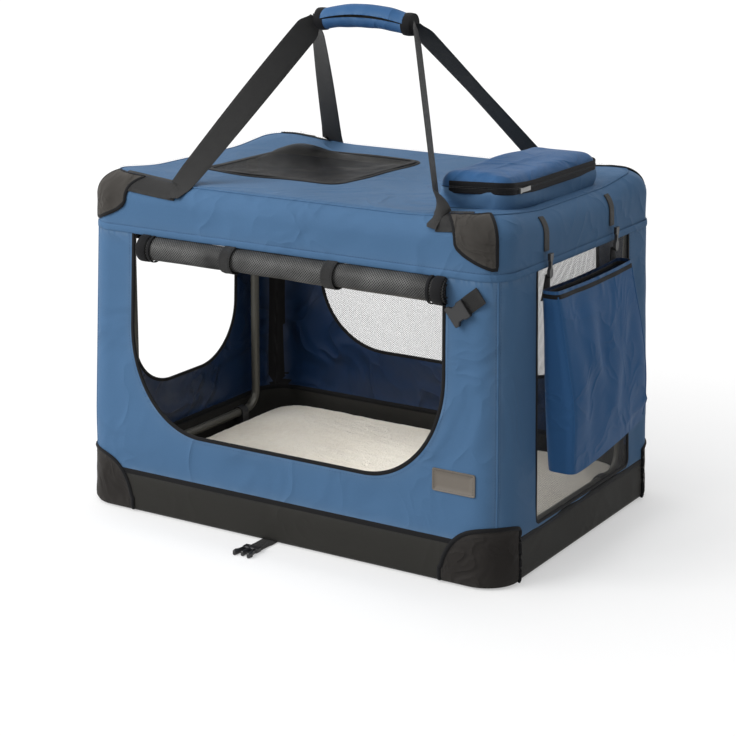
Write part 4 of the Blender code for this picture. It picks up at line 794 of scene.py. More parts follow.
def lattice_group() -> None:
    """Share of a knitted net that is thread: two families of slanted strands, thicker at the knots."""
    sockets = {"Vector": "Vector", "Pitch": "Float", "Strand": "Float"}
    graph, (place, pitch, strand) = open_group("lattice", sockets, {"Mask": "Float"})
    across, along = graph.add("ShaderNodeSeparateXYZ", {0: place}).outputs[:2]
    strands = []
    for operation in ("ADD", "SUBTRACT"):
        slanted = graph.math("DIVIDE", graph.math(operation, across, along), pitch)
        offset = graph.math("ABSOLUTE", graph.math("SUBTRACT", graph.math("FRACT", slanted), 0.5))
        strands.append(graph.math("SUBTRACT", 0.5, offset))
    slimmer = graph.math("MULTIPLY", graph.math("MAXIMUM", *strands), 0.35)
    edge = graph.math("SUBTRACT", strand, graph.math("MULTIPLY", slimmer, strand))
    mask = graph.math("LESS_THAN", graph.math("MINIMUM", *strands), edge)
    graph.add("NodeGroupOutput", {"Mask": mask})


class Surface:
    """A material in the making, with its graph, its shader and its place in space."""

    def __init__(self, name: str) -> None:
        """Start a material with a plain shader."""
        self.material = bpy.data.materials.new(name)
        self.material.use_nodes = True
        self.graph = Graph(self.material.node_tree)
        self.graph.tree.nodes.clear()
        self.shader = self.graph.add("ShaderNodeBsdfPrincipled")
        self.graph.add("ShaderNodeOutputMaterial", {0: self.shader.outputs[0]})
        self.place = self.graph.add("ShaderNodeTexCoord").outputs["Object"]

    def cloth(self) -> Socket:
        """Cloth coordinates in metres."""
        return self.graph.add("ShaderNodeUVMap", uv_map="cloth").outputs[0]

    def dyed(self, colour: Colour, rubbed: Colour, drift: float, wear: float | None = None) -> list[Socket]:
        """Dye that drifts in tone and is rubbed off.

        Args:
            colour: Colour where it is whole.
            rubbed: Colour where it is rubbed off.
            drift: How far its tone wanders.
            wear: Rubbed share; by default the mesh tells it.

        Returns:
            The colour and the mask of the rubbed places.
        """
        if wear is None:
            wear = self.graph.add("ShaderNodeAttribute", attribute_name="wear").outputs["Fac"]
        return self.graph.shared("dye", {"Vector": self.place, "Colour": rgba(colour), "Rubbed": rgba(rubbed),
                                         "Drift": drift, "Wear": wear})

    def finish(self, looks: dict[str, object]) -> bpy.types.Material:
        """Put values or sockets into the shader.

        Args:
            looks: What goes into each of its inputs.

        Returns:
            The material.
        """
        for label, value in looks.items():
            self.graph.put(self.shader.inputs[label], value)
        return self.material


@dataclass(frozen=True)
class ClothFinish:
    """Woven cloth, coated or not."""

    name: str
    colour: Colour
    rubbed: Colour
    roughness: float = 0.60
    sheen: float = 0.25
    sheen_tint: Colour = (0.75, 0.85, 1.0)
    threads: float = 1500.0
    weave_depth: float = 0.00012
    crumple_scale: float = 8.0
    crumple_depth: float = 0.0030
    drift: float = 0.22
    coat: float = 0.0

    def build(self) -> bpy.types.Material:
        """Weave over crumple, with dye drift and rubbed margins.

        Returns:
            The material.
        """
        made = Surface(self.name)
        graph = made.graph
        weave = graph.shared("weave", {"Vector": made.cloth(), "Threads": self.threads})[0]
        crumple = graph.shared("crumple", {"Vector": made.place, "Scale": self.crumple_scale})[0]
        folds = graph.bump(crumple, self.crumple_depth)
        colour, mask = made.dyed(self.colour, self.rubbed, self.drift)
        rough = graph.scaled(mask, 0.12, self.roughness)
        smear = graph.noise(made.place, 30.0)
        return made.finish({
            "Base Color": colour,
            "Roughness": graph.scaled(smear, 0.10, graph.math("SUBTRACT", rough, 0.05)),
            "Normal": graph.bump(weave, self.weave_depth, folds),
            "Specular IOR Level": 0.06,
            "Sheen Weight": self.sheen,
            "Sheen Tint": rgba(self.sheen_tint),
            "Coat Weight": self.coat,
            "Coat Roughness": 0.30,
        })


@dataclass(frozen=True)
class WebbingFinish:
    """Ribbed strap tape."""

    name: str
    colour: Colour
    rib: float = 0.0016
    roughness: float = 0.62

    def build(self) -> bpy.types.Material:
        """Cross ribs with a finer twill over them, dye drift and rubbed edges.

        Returns:
            The material.
        """
        made = Surface(self.name)
        graph = made.graph
        across, along = graph.add("ShaderNodeSeparateXYZ", {0: made.cloth()}).outputs[:2]
        turn = math.tau / self.rib
        ribs = graph.math("SINE", graph.math("MULTIPLY", along, turn))
        slant = graph.scaled(along, 0.5, across)
        twill = graph.math("SINE", graph.math("MULTIPLY", slant, turn * 1.5))
        relief = graph.scaled(twill, 0.4, ribs)
        smear = graph.noise(made.place, 90.0)
        return made.finish({
            "Base Color": made.dyed(self.colour, paler(self.colour, 2.2), 0.5)[0],
            "Roughness": graph.scaled(smear, 0.16, self.roughness - 0.08),
            "Normal": graph.bump(relief, 0.00025),
            "Sheen Weight": 0.06,
            "Specular IOR Level": 0.35,
        })


@dataclass(frozen=True)
class NetFinish:
    """Knitted net; see-through between its strands, or lying on itself in a roll."""

    name: str
    colour: Colour
    pitch: float = 0.0034
    strand: float = 0.075
    backing: Colour | None = None

    def build(self) -> bpy.types.Material:
        """Strands with painted glints, cut out of clear or lying over a darker backing.

        Returns:
            The material.
        """
        made = Surface(self.name)
        graph = made.graph
        wanted = {"Vector": made.cloth(), "Pitch": self.pitch, "Strand": self.strand}
        mask = graph.shared("lattice", wanted)[0]
        # painted glints: noise brightens the strand colour in patches, standing in for highlights
        painted_glint = graph.scaled(graph.noise(made.place, 24.0, 4.0), 1.6, -0.3)
        thread = graph.add("ShaderNodeHueSaturation", {"Color": rgba(self.colour), "Value": painted_glint}).outputs[0]
        looks = {
            "Roughness": graph.scaled(graph.noise(made.place, 40.0), 0.3, 0.35),
            "Normal": graph.bump(mask, 0.0005, strength=0.8),
            "Specular IOR Level": 0.2,
        }
        if self.backing is None:
            looks.update({"Base Color": thread, "Alpha": mask})
        else:
            looks["Base Color"] = graph.mix(mask, rgba(self.backing), thread)
        return made.finish(looks)


@dataclass(frozen=True)
class FleeceFinish:
    """Short curly pile."""

    name: str
    colour: Colour
    shade: Colour

    def build(self) -> bpy.types.Material:
        """Curls on tufts, painted shade in the hollows between them and a soft bloom.

        Returns:
            The material.
        """
        made = Surface(self.name)
        graph = made.graph
        curls = graph.noise(made.place, 260.0, 4.0, 1.5)
        tufts = graph.noise(made.place, 70.0, 3.0, 0.8)
        nap = graph.noise(made.place, 9.0, 2.0)
        # painted shade: the colour falls to the shade colour where the tufts of the bump are low, in its
        # hollows
        hollow = graph.scaled(graph.scaled(tufts, 0.6, nap), 1.1, -0.35)
        return made.finish({
            "Base Color": graph.mix(hollow, rgba(self.shade), rgba(self.colour)),
            "Roughness": graph.scaled(curls, 0.1, 0.85),
            "Normal": graph.bump(graph.scaled(tufts, 1.2, curls), 0.0022),
            "Sheen Weight": 0.5,
        })


@dataclass(frozen=True)
class HardFinish:
    """Moulded plastic, painted tube, die-cast metal or board."""

    name: str
    colour: Colour
    roughness: float
    metallic: float = 0.0
    grain: float = 350.0
    grain_depth: float = 0.00008
    drift: float = 0.15
    wear: float = 0.25

    def build(self) -> bpy.types.Material:
        """Fine grain, colour drift and uneven gloss.

        Returns:
            The material.
        """
        made = Surface(self.name)
        graph = made.graph
        smear = graph.noise(made.place, 45.0)
        return made.finish({
            "Base Color": made.dyed(self.colour, paler(self.colour, 1.6), self.drift, self.wear)[0],
            "Roughness": graph.scaled(smear, 0.2, self.roughness - 0.1),
            "Normal": graph.bump(graph.noise(made.place, self.grain), self.grain_depth),
            "Metallic": self.metallic,
        })


WHITE = (1.0, 1.0, 1.0)
WARM_WHITE = (1.0, 0.97, 0.92)


@dataclass
class Palette:
    """Every finish of the crate, built once."""

    made: dict[str, bpy.types.Material] = field(default_factory=dict)

    def build(self) -> None:
        """Make the node groups and all the materials."""
        for make_group in (weave_group, crumple_group, dye_group, lattice_group):
            make_group()
        finishes = (
            ClothFinish("blue_cloth", (0.070, 0.149, 0.272), (0.170, 0.250, 0.360), 0.58, 0.03,
                        crumple_depth=0.0040),
            ClothFinish("blue_lining", (0.006, 0.021, 0.062), (0.020, 0.050, 0.130), 0.30, 0.03,
                        crumple_depth=0.022, coat=0.60),
            ClothFinish("pocket_cloth", (0.034, 0.106, 0.248), (0.150, 0.240, 0.370), 0.46, 0.03,
                        crumple_scale=11.0, crumple_depth=0.0045),
            ClothFinish("black_cloth", (0.030, 0.029, 0.026), (0.060, 0.060, 0.058), 0.55, 0.06, WHITE,
                        threads=1100.0, crumple_depth=0.0015),
            # patch cloth in two copies, shaded and lit: this darker one on the base patches, the lighter one
            # below on the roof patches
            ClothFinish("patch_cloth", (0.024, 0.0215, 0.020), (0.070, 0.066, 0.062), 0.62, 0.06,
                        WARM_WHITE, 1000.0, crumple_scale=22.0, crumple_depth=0.0036),
            # painted top light: a lighter copy of the patch cloth for the roof patches, which face the light
            # from above
            ClothFinish("roof_patch_cloth", (0.046, 0.042, 0.038), (0.100, 0.094, 0.086), 0.62, 0.08,
                        WARM_WHITE, 1000.0, crumple_scale=22.0, crumple_depth=0.0036),
            ClothFinish("binding_tape", (0.012, 0.012, 0.013), (0.040, 0.040, 0.042), 0.62, 0.06, WHITE,
                        threads=900.0, crumple_depth=0.0005, weave_depth=0.0002),
            WebbingFinish("webbing_tape", (0.0100, 0.0097, 0.0094)),
            NetFinish("window_net", (0.060, 0.060, 0.062)),
            NetFinish("roof_net", (0.0060, 0.0055, 0.0055), strand=0.19),
            NetFinish("rolled_net", (0.210, 0.210, 0.205), 0.0040, 0.16, (0.012, 0.012, 0.012)),
            FleeceFinish("fleece_pile", (0.900, 0.850, 0.740), (0.700, 0.630, 0.520)),
            HardFinish("label_rubber", (0.130, 0.112, 0.092), 0.50, drift=0.3),
            HardFinish("nylon_teeth", (0.020, 0.020, 0.021), 0.35),
            HardFinish("moulded_plastic", (0.017, 0.017, 0.018), 0.40),
            HardFinish("painted_steel", (0.085, 0.082, 0.070), 0.38, 0.35, grain=500.0),
            HardFinish("cast_zinc", (0.230, 0.230, 0.225), 0.36, 1.0),
            HardFinish("pressed_board", (0.110, 0.085, 0.060), 0.82, grain=900.0, grain_depth=0.0003),
            ClothFinish("blue_thread", (0.030, 0.080, 0.180), (0.060, 0.120, 0.230), 0.70, threads=4000.0),
            ClothFinish("dark_thread", (0.015, 0.015, 0.016), (0.040, 0.040, 0.040), 0.70, threads=4000.0),
        )
        for finish in finishes:
            self.made[finish.name] = finish.build()

    def get(self, names: str) -> list[bpy.types.Material]:
        """The finishes whose names stand in a line, in order."""
        return [self.made[name] for name in names.split()]


PALETTE = Palette()


# Seating


class Drop(Enum):
    """How a soft piece gives way as the roof comes down: where it is held and what stays of its height."""

    NONE = (0.0, 1.0)
    WALL = (0.064, 0.16)
    ROOF = (0.500, 0.30)
    POCKET = (0.446, 0.10)


def seat(form: Form, name: str, finishes: str, body: str, slot: Slot, replaces: Sequence[str] = (),
         drop: Drop = Drop.NONE, **how: float | bool) -> bpy.types.Object:
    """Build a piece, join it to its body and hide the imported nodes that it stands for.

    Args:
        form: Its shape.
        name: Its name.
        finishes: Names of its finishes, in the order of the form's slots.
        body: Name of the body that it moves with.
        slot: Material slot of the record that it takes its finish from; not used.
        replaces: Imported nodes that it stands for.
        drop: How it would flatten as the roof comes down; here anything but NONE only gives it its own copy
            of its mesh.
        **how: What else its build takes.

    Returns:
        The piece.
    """
    item = form.build(name, PALETTE.get(finishes), **how)
    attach(item, body)
    if replaces:
        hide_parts(*replaces)
    if drop is not Drop.NONE:
        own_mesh(item)
    LOG.info("%s: %d faces on %s", item.name, len(item.data.polygons), body)
    return item


# Base


@dataclass
class Tray:
    """Black cloth tray with a standing band, taped upper edge and domed corner patches."""

    thickness: float = 0.0022
    tape: float = 0.009
    patch_reach: float = 0.082
    patch_peak: float = 0.086
    patch_power: float = 2.6
    patch_gap: float = 0.0014
    patch_foot: float = 0.0025

    def build(self) -> None:
        """Make the tray, its edge tape and the corner patches."""
        self.build_band()
        self.build_tape()
        for sign_x, sign_y in CORNERS:
            self.build_patch(sign_x, sign_y)

    def build_band(self) -> None:
        """Floor sheet that turns up into the band: one profile carried round the plan."""
        turn = np.linspace(0.0, math.pi / 2, 9)
        upright = np.linspace(SIZE.base_edge, SIZE.band, 9)[1:]
        heights = np.concatenate([SIZE.base_edge * (1 - np.cos(turn)), upright])
        inset = SIZE.base_inset(heights)
        grid = raised(SIZE.loop(inset, SIZE.base_corner - inset), heights)
        around = np.linspace(0.0, 2.4, grid.shape[1], endpoint=False)[None, :]
        share = np.clip((heights - SIZE.base_edge) / (SIZE.band - SIZE.base_edge), 0, 1)[:, None]
        bulge = np.sin(math.pi * share) * (0.0006 + 0.0009 * waves(around, heights[:, None] * 2, 3, 0.20))
        grid = grid + grid_normals(grid, True) * bulge[..., None]
        form = Form()
        form.shell(grid, self.thickness, closed=True, fans=(True, False))
        seat(form, "base_tray_cloth", "black_cloth", "base", Slot.BLACK, ["base_tray"])
        root = Form()
        path = space(SIZE.floor_strap_x, (-0.240, -0.252, -0.261), (0.0016, 0.0012, 0.0012))
        root.sweep(resample(path, 9), UP, tape_section(0.025, 0.0016))
        seat(root, "floor_strap_end", "webbing_tape", "base", Slot.WEBBING)

    def build_tape(self) -> None:
        """Folded tape over the band's upper edge, and the stitch row through it."""
        loop = SIZE.loop(0.0, SIZE.base_corner)[0]
        wide = SIZE.loop(-0.01, SIZE.base_corner + 0.01)[0]
        path = space(*loop.T, SIZE.band - self.tape * 0.25)
        out = unit(space(*(wide - loop).T, 0.0))
        form = Form()
        section = oval(self.tape, self.thickness + 0.0014, 12, 0.7)
        form.sweep(path - out * self.thickness * 0.45, out, section, closed=True)
        seam = path + out * 0.0004 - UP * self.tape * 0.62
        form.stitches(joined(seam), joined(out), 1)
        seat(form, "base_edge_tape", "binding_tape dark_thread", "base", Slot.BLACK)

    def build_patch(self, sign_x: int, sign_y: int) -> None:
        """One patch with piping on its domed upper edge and stitches inside it.

        The dome's height is the root of one minus a power of the run from the corner seam.

        Args:
            sign_x: -1 for the left corner, 1 for the right one.
            sign_y: -1 for the front, 1 for the rear.
        """
        run = np.linspace(-1.0, 1.0, 57)[None, :]
        top = self.patch_peak * np.sqrt(np.clip(1 - np.abs(run) ** self.patch_power, 0.06, 1.0))
        rise = np.linspace(0.0, 1.0, 17)[:, None]
        height = self.patch_foot + (top - self.patch_foot) * rise
        run = run * self.patch_reach
        crinkle = 0.0007 * waves(run, height, 11 + sign_x + 2 * sign_y, 0.045) * np.sin(math.pi * rise)
        outset = self.patch_gap + crinkle - SIZE.base_inset(height)
        side = Side.FRONT if sign_y < 0 else Side.REAR
        toward = -sign_x * sign_y
        grid = wall_point(side, toward * (wall_reach(side, height) - run), height, outset)
        if toward > 0:
            grid = grid[:, ::-1]
        name = corner_name("base_patch", sign_x, sign_y)
        form = Form()
        form.shell(grid, 0.0012, worn=0.010)
        normals = grid_normals(grid, False)
        edge = np.concatenate([grid[1:, 0], grid[-1, 1:-1], grid[1:, -1][::-1]])
        outward = np.concatenate([normals[1:, 0], normals[-1, 1:-1], normals[1:, -1][::-1]])
        form.sweep(edge, outward, oval(0.0062, 0.0036, 8), 1)
        inner = resample(np.concatenate([grid[2:-2, 2], grid[-3, 3:-3], grid[2:-2, -3][::-1]]), 60)
        flat = resample(np.concatenate([normals[2:-2, 2], normals[-3, 3:-3], normals[2:-2, -3][::-1]]), 60)
        form.stitches(inner + flat * 0.0003, flat, 2)
        seat(form, name + "_cloth", "patch_cloth binding_tape dark_thread", "base", Slot.PATCH, [name])


@dataclass
class FleeceMat:
    """Loose fleece mat on the board."""

    half_x: float = 0.316
    half_y: float = 0.236
    corner: float = 0.040
    low: float = 0.0247
    high: float = 0.0407
    round_edge: float = 0.008

    def build(self) -> None:
        """Crowned pad: rings shrink from the rim to the middle above and below."""
        share = np.linspace(0.0, 1.0, 46, endpoint=False)
        depth = share**1.15 * self.half_y * 0.97
        corner = np.maximum(self.corner * (1 - share), 0.004)
        loops = plan_loop(self.half_x - depth, self.half_y - depth, corner, 18, 40)
        edge = np.clip(depth / self.round_edge, 0, 1)
        crown = np.sqrt(1 - (1 - edge) ** 2)[:, None]
        across, along = loops[..., 0], loops[..., 1]
        middle = (self.low + self.high) / 2
        half = (self.high - self.low) / 2
        soft = 0.0016 * waves(across, along, 5, 0.16) + 0.0006 * waves(across, along, 6, 0.030, 11)
        curls = 0.0007 * waves(across, along, 8, 0.011, 17)
        top = middle + crown * (half - 0.0012 + (soft + curls) * crown)
        base = middle - crown * (half - 0.0004)
        wobble = 1.0 + 0.004 * waves(across * 3, along * 3, 9, 0.35) * (1 - crown)
        upper = space(across * wobble, along * wobble, top)
        lower = space(across * wobble, along * wobble, base)
        form = Form()
        form.grid(upper, 0, True)
        form.grid(lower, 0, True, True)
        form.fan(upper[-1])
        form.fan(lower[-1], flip=True)
        mat = seat(form, "fleece_mat", "fleece_pile", "base", Slot.FLEECE, ["mattress"], sharp=80.0,
                   spread=False)


# Walls


def door_curve(width: float, sill: float, corner: float, rise: float, top: float) -> Array:
    """Opening from its upper left down round the sill to its upper right.

    Args:
        width: Width between its upright sides.
        sill: Height of its lower edge.
        corner: Width of each lower corner's quarter oval.
        rise: Height of that oval.
        top: Height of its upper end.

    Returns:
        Points of (run, height).
    """
    half = width / 2
    turn = np.linspace(0.0, math.pi / 2, 90)
    left = np.column_stack([-half + corner * (1 - np.cos(turn)), sill + rise * (1 - np.sin(turn))])
    right = np.column_stack([-left[::-1, 0], left[::-1, 1]])
    return resample(np.concatenate([[(-half, top)], left, right, [(half, top)]]), 2400)


@dataclass
class ClothWall:
    """One cloth wall round its opening, with bound edges and corner seams.

    The cloth is a fan of rays from the top middle of the opening: each ray runs from the opening's
    edge to the wall's border, so the grid follows the curve of the opening.
    """

    side: Side
    curve: Array
    node: str
    cut_width: float
    cut_area: float
    ripple: float = 0.0012
    seed: int = 1
    columns: int = 110
    rows: int = 22
    binding: float = 0.0060
    corner_tape: float = 0.016

    def build(self) -> None:
        """Make the cloth, the tape round its opening and the seams."""
        grid, uv, dark = self.cloth_grid()
        form = Form()
        form.shell(grid, SIZE.cloth, (0, 1, 2), inner_slot=np.where(dark, 2, 1).reshape(-1), uv=uv)
        wall = seat(form, self.node + "_cloth", "blue_cloth blue_lining binding_tape", "base", Slot.BLUE,
                    [self.node], Drop.WALL)
        self.build_binding(grid)

    def cloth_grid(self) -> tuple[Array, Array, Array]:
        """Rays from the opening's edge to the border, with slack that is calm at both ends.

        Returns:
            Grid of the wall, its cloth coordinates, and which inner quads are corner tape.
        """
        top, low = SIZE.seam, SIZE.band
        run, height = self.curve[:, 0], self.curve[:, 1]
        share = run / wall_reach(self.side, height)
        drop = np.maximum(top - height, 1e-9)
        border = np.abs(share) * (top - low) - drop
        crossings = np.nonzero(np.diff(np.sign(border)) != 0)[0]
        picks = np.linspace(0, len(run) - 1, self.columns).round().astype(int)
        picks = np.unique(np.concatenate([picks, crossings + 1]))
        share, height, drop = share[picks], height[picks], drop[picks]
        scale = np.minimum(1.0 / np.maximum(np.abs(share), 1e-9), (top - low) / drop)
        out_share = np.clip(share * scale, -1.0, 1.0)
        out_height = np.maximum(top - drop * scale, low)
        rise = (np.linspace(0.0, 1.0, self.rows) ** 0.9)[:, None]
        shares = share[None] + (out_share - share)[None] * rise
        heights = height[None] + (out_height - height)[None] * rise
        runs = shares * wall_reach(self.side, heights)
        calm = np.sin(math.pi * rise) ** 0.7 * smooth_step(0.0, 0.02, top - heights)
        ripples = waves(runs, heights, self.seed, 0.19) + 0.5 * waves(runs, heights, self.seed + 50, 0.075)
        grid = wall_point(self.side, runs, heights, self.ripple * calm * ripples)[:, ::-1]
        uv = np.stack([runs, heights], axis=-1)[:, ::-1]
        dark = (np.abs(runs) > wall_reach(self.side, heights) - self.corner_tape)[:, ::-1]
        return grid, uv, dark[:-1, :-1]

    def build_binding(self, grid: Array) -> None:
        """Tape folded over the opening's edge, a stitch row beside it, and piping on the corner seams.

        Args:
            grid: Grid of the wall.
        """
        form = Form()
        edge = resample(grid[0], 160)
        run = resample(self.curve[::-1], 160)
        out = wall_normal(self.side, run[:, 0], run[:, 1])
        form.sweep(edge - out * SIZE.cloth / 2, out, oval(self.binding, 0.0034, 10, 0.8))
        beside = resample(grid[0] + unit(grid[2] - grid[0]) * (self.binding * 0.5 + 0.0040), 220)
        flat = resample(grid_normals(grid, False)[1], 220)
        form.stitches(beside + flat * 0.0004, flat, 1)
        for sign in (-1, 1):
            heights = np.linspace(SIZE.band + 0.002, SIZE.seam, 40)
            reach = wall_reach(self.side, heights)
            seam = wall_point(self.side, sign * (reach - 0.0035), heights, 0.0003)
            form.stitches(seam, wall_normal(self.side, sign * reach, heights), 1)
            if sign > 0:
                ridge = wall_point(self.side, reach, heights, -0.0002)
                form.sweep(ridge, wall_normal(self.side, reach, heights), oval(0.0034, 0.0020, 8), 2)
        seat(form, self.node + "_trim", "binding_tape blue_thread blue_cloth", "base", Slot.BLACK,
             drop=Drop.WALL)


@dataclass
class WindowNet:
    """Net sewn into a wall window: rays of the outline shrink to its upper middle."""

    side: Side
    curve: Array
    node: str
    cut: tuple[float, float]
    cut_area: float
    slack: float = 0.003

    def build(self) -> None:
        """Make the net as a thin slack sheet."""
        outline = resample(self.curve[::-1], 90)[None]
        rise = np.linspace(0.0, 0.995, 26)[:, None]
        run = outline[..., 0] * (1 - rise)
        height = outline[..., 1] + (SIZE.seam - 0.0008 - outline[..., 1]) * rise
        sag = self.slack * np.sin(math.pi * rise) * waves(run, height, 21, 0.22) - 0.0012
        grid = wall_point(self.side, run, height, sag)[::-1, ::-1]
        uv = np.stack([run, height], axis=-1)[::-1, ::-1]
        form = Form()
        form.shell(grid, 0.0004, uv=uv)
        net = seat(form, self.node + "_cloth", "window_net", "base", Slot.NET, [self.node], Drop.WALL)


@dataclass
class Walls:
    """The four walls and the nets in their windows."""

    def build(self) -> None:
        """Make front, rear, left and right wall, then the two window nets."""
        top = SIZE.seam
        front = door_curve(0.524, 0.134, 0.125, 0.155, top)
        rear = door_curve(0.508, 0.150, 0.125, 0.125, top)
        left = door_curve(0.270, 0.142, 0.095, 0.095, top)
        right = door_curve(0.300, 0.070, 0.006, 0.006, top)
        ClothWall(Side.FRONT, front, "front_wall", 0.690, 0.110, 0.0010, 31).build()
        ClothWall(Side.REAR, rear, "rear_wall", 0.690, 0.118, 0.0022, 32).build()
        ClothWall(Side.LEFT, left, "left_wall", 0.490, 0.104, 0.0018, 33).build()
        ClothWall(Side.RIGHT, right, "right_wall", 0.490, 0.071, 0.0016, 34).build()
        WindowNet(Side.REAR, rear, "rear_window_net", (0.508, 0.277), 0.133).build()
        WindowNet(Side.RIGHT, right, "right_window_net", (0.300, 0.357), 0.107).build()


# Roof


@dataclass
class RoofCloth:
    """Roof sheet with its hanging band, window, edge piping, hem, corner patches and net door."""

    window_x: float = -0.1275
    window_y: float = 0.0280
    window_half_x: float = 0.1225
    window_half_y: float = 0.1260
    window_corner: float = 0.020
    patch_reach: float = 0.062
    patch_gap: float = 0.0016

    def build(self) -> None:
        """Make the cover, its seams, the patches and the net."""
        self.build_cover()
        self.build_net()
        for sign_x, sign_y in CORNERS:
            self.build_patch(sign_x, sign_y)

    def profile(self, share: Array) -> tuple[Array, Array, Array]:
        """Section of the cover: a quarter round from the roof's flat, then a straight fall to the hem.

        Args:
            share: Place in the section, 0 at the roof's flat and 1 at the hem.

        Returns:
            Inset, height and plan radius at each place.
        """
        bend = 0.42
        angle = math.pi / 2 * (1 - np.clip(share / bend, 0, 1))
        fall = np.clip((share - bend) / (1 - bend), 0, 1)
        inset = SIZE.roof_edge * (1 - np.cos(angle))
        height = SIZE.height - SIZE.roof_edge * (1 - np.sin(angle))
        height = height - (SIZE.height - SIZE.roof_edge - SIZE.seam) * fall
        radius = SIZE.wall_corner + (SIZE.roof_corner - SIZE.wall_corner) * (1 - np.clip(share / bend, 0, 1))
        return inset, height, radius

    def window_loop(self, toward: Array) -> Array:
        """Points of the window's outline that lie in the direction of other points.

        Args:
            toward: The other points, in plan.

        Returns:
            Points of the outline.
        """
        outline = plan_loop(self.window_half_x, self.window_half_y, self.window_corner, 24, 40)[0]
        angle = np.arctan2(outline[:, 1], outline[:, 0])
        order = np.argsort(angle)
        wanted = np.arctan2(toward[:, 1] - self.window_y, toward[:, 0] - self.window_x)
        reach = np.hypot(outline[order, 0], outline[order, 1])
        reach = np.interp(wanted, angle[order], reach, period=math.tau)[:, None]
        return np.stack([np.cos(wanted), np.sin(wanted)], axis=1) * reach + (self.window_x, self.window_y)

    def build_cover(self) -> None:
        """One ring grid from the window's edge over the frame down to the hem."""
        stations = np.linspace(0.0, 1.0, 26)
        inset, height, radius = self.profile(stations)
        loops = SIZE.loop(inset, radius)
        lower = raised(loops, height)
        around = np.linspace(0.0, 2.3, lower.shape[1], endpoint=False)[None, :]
        loose = smooth_step(0.35, 0.8, stations)[:, None]
        ripple = loose * (0.0005 + 0.0011 * waves(around, stations[:, None] * 0.07, 43, 0.24))
        lower = lower + grid_normals(lower, True) * ripple[..., None]
        edge = loops[0]
        hole = self.window_loop(edge)
        share = np.linspace(0.0, 1.0, 20)[:-1, None, None]
        flat = hole[None] + (edge - hole)[None] * share
        inside = smooth_step(0.0, 0.12, SIZE.half_x - SIZE.roof_edge - np.abs(flat[..., 0]))
        inside = inside * smooth_step(0.0, 0.10, SIZE.half_y - SIZE.roof_edge - np.abs(flat[..., 1]))
        sunk = SIZE.height + inside * (-0.0030 + 0.0016 * waves(flat[..., 0], flat[..., 1], 41, 0.17))
        grid = np.concatenate([np.concatenate([flat, sunk[..., None]], axis=-1), lower])[::-1]
        form = Form()
        form.shell(grid, SIZE.cloth, (0, 1, 2), True)
        cover = seat(form, "roof_cover_cloth", "blue_cloth blue_lining binding_tape", "roof", Slot.BLUE,
                     ["roof_cover"], Drop.ROOF)
        self.build_seams(flat[0], sunk[0])

    def build_seams(self, hole: Array, heights: Array) -> None:
        """Piping along the roof's edge, the folded hem of the band and tape round the window.

        Args:
            hole: Edge of the window in plan.
            heights: Height of each of its points.
        """
        form = Form()
        for share, width, depth in ((0.10, 0.0030, 0.0020), (0.965, 0.010, 0.0022)):
            inset, height, radius = (float(value) for value in self.profile(np.array(share)))
            loop = SIZE.loop(inset, radius)[0]
            wide = SIZE.loop(inset - 0.01, radius + 0.01)[0]
            tilt = max(height - (SIZE.height - SIZE.roof_edge), 0.0) / SIZE.roof_edge
            out = space(*(unit(wide - loop) * math.sqrt(1 - tilt * tilt)).T, tilt)
            path = space(*loop.T, height) + out * 0.0004
            form.sweep(path, out, oval(width, depth, 10, 0.8), 0, True)
            form.stitches(joined(path + out * 0.0010 + UP * width * 0.62), joined(out), 2)
        form.sweep(space(*hole.T, heights), UP, oval(0.009, 0.0030, 10, 0.7), 1, True)
        seat(form, "roof_seams", "blue_cloth binding_tape blue_thread", "roof", Slot.BLUE, drop=Drop.ROOF)

    def build_net(self) -> None:
        """Slack net door with a low peak toward its rear left, and the tape on its edge."""
        half_x, half_y = self.window_half_x - 0.0015, self.window_half_y - 0.0015
        outline = plan_loop(half_x, half_y, self.window_corner - 0.001, 14, 24)
        rise = np.linspace(0.0, 0.99, 36)[:, None]
        across = self.window_x + outline[..., 0] * (1 - rise)
        along = self.window_y + outline[..., 1] * (1 - rise)
        peak = np.exp(-(((across + 0.185) / 0.05) ** 2) - ((along - 0.085) / 0.045) ** 2)
        hollow = np.sin(math.pi * rise / 2)
        height = SIZE.height - 0.0012 + 0.024 * peak * np.clip(rise * 6, 0, 1) - 0.005 * hollow
        height = height + 0.0016 * hollow * waves(across, along, 44, 0.10)
        grid = space(across, along, height)
        form = Form()
        form.shell(grid, 0.0004, closed=True, uv=grid[..., :2], fans=(False, True))
        net = seat(form, "roof_door_net_cloth", "roof_net", "roof_door", Slot.NET, ["roof_door_net"])
        trim = Form()
        trim.sweep(grid[1], UP, oval(0.0070, 0.0018, 8, 0.7), 0, True)
        seat(trim, "roof_door_tape", "binding_tape", "roof_door", Slot.BLACK)

    def patch_point(self, sign_x: int, sign_y: int, run: Array, share: Array, lift: float) -> Array:
        """Point over the cover near a corner.

        Args:
            sign_x: -1 for the left corner, 1 for the right one.
            sign_y: -1 for the front, 1 for the rear.
            run: Distance along the cloth from the corner's middle.
            share: Place in the cover's section.
            lift: Distance over the cover.

        Returns:
            Points in space.
        """
        inset, height, radius = self.profile(share)
        arc = radius * math.pi / 4
        on_arc = np.clip(run, -arc, arc)
        angle = math.pi / 4 + on_arc / radius
        tilt = np.clip(height - (SIZE.height - SIZE.roof_edge), 0.0, None) / SIZE.roof_edge
        spread = lift * np.sqrt(np.clip(1 - tilt**2, 0.0, 1.0))
        point_x = SIZE.half_x - inset - radius + (radius + spread) * np.cos(angle)
        point_y = SIZE.half_y - inset - radius + (radius + spread) * np.sin(angle)
        past = run - on_arc
        point_x = np.where(past > 0, point_x - past, point_x)
        point_y = np.where(past < 0, point_y + past, point_y)
        return space(sign_x * point_x, sign_y * point_y, height + lift * tilt)

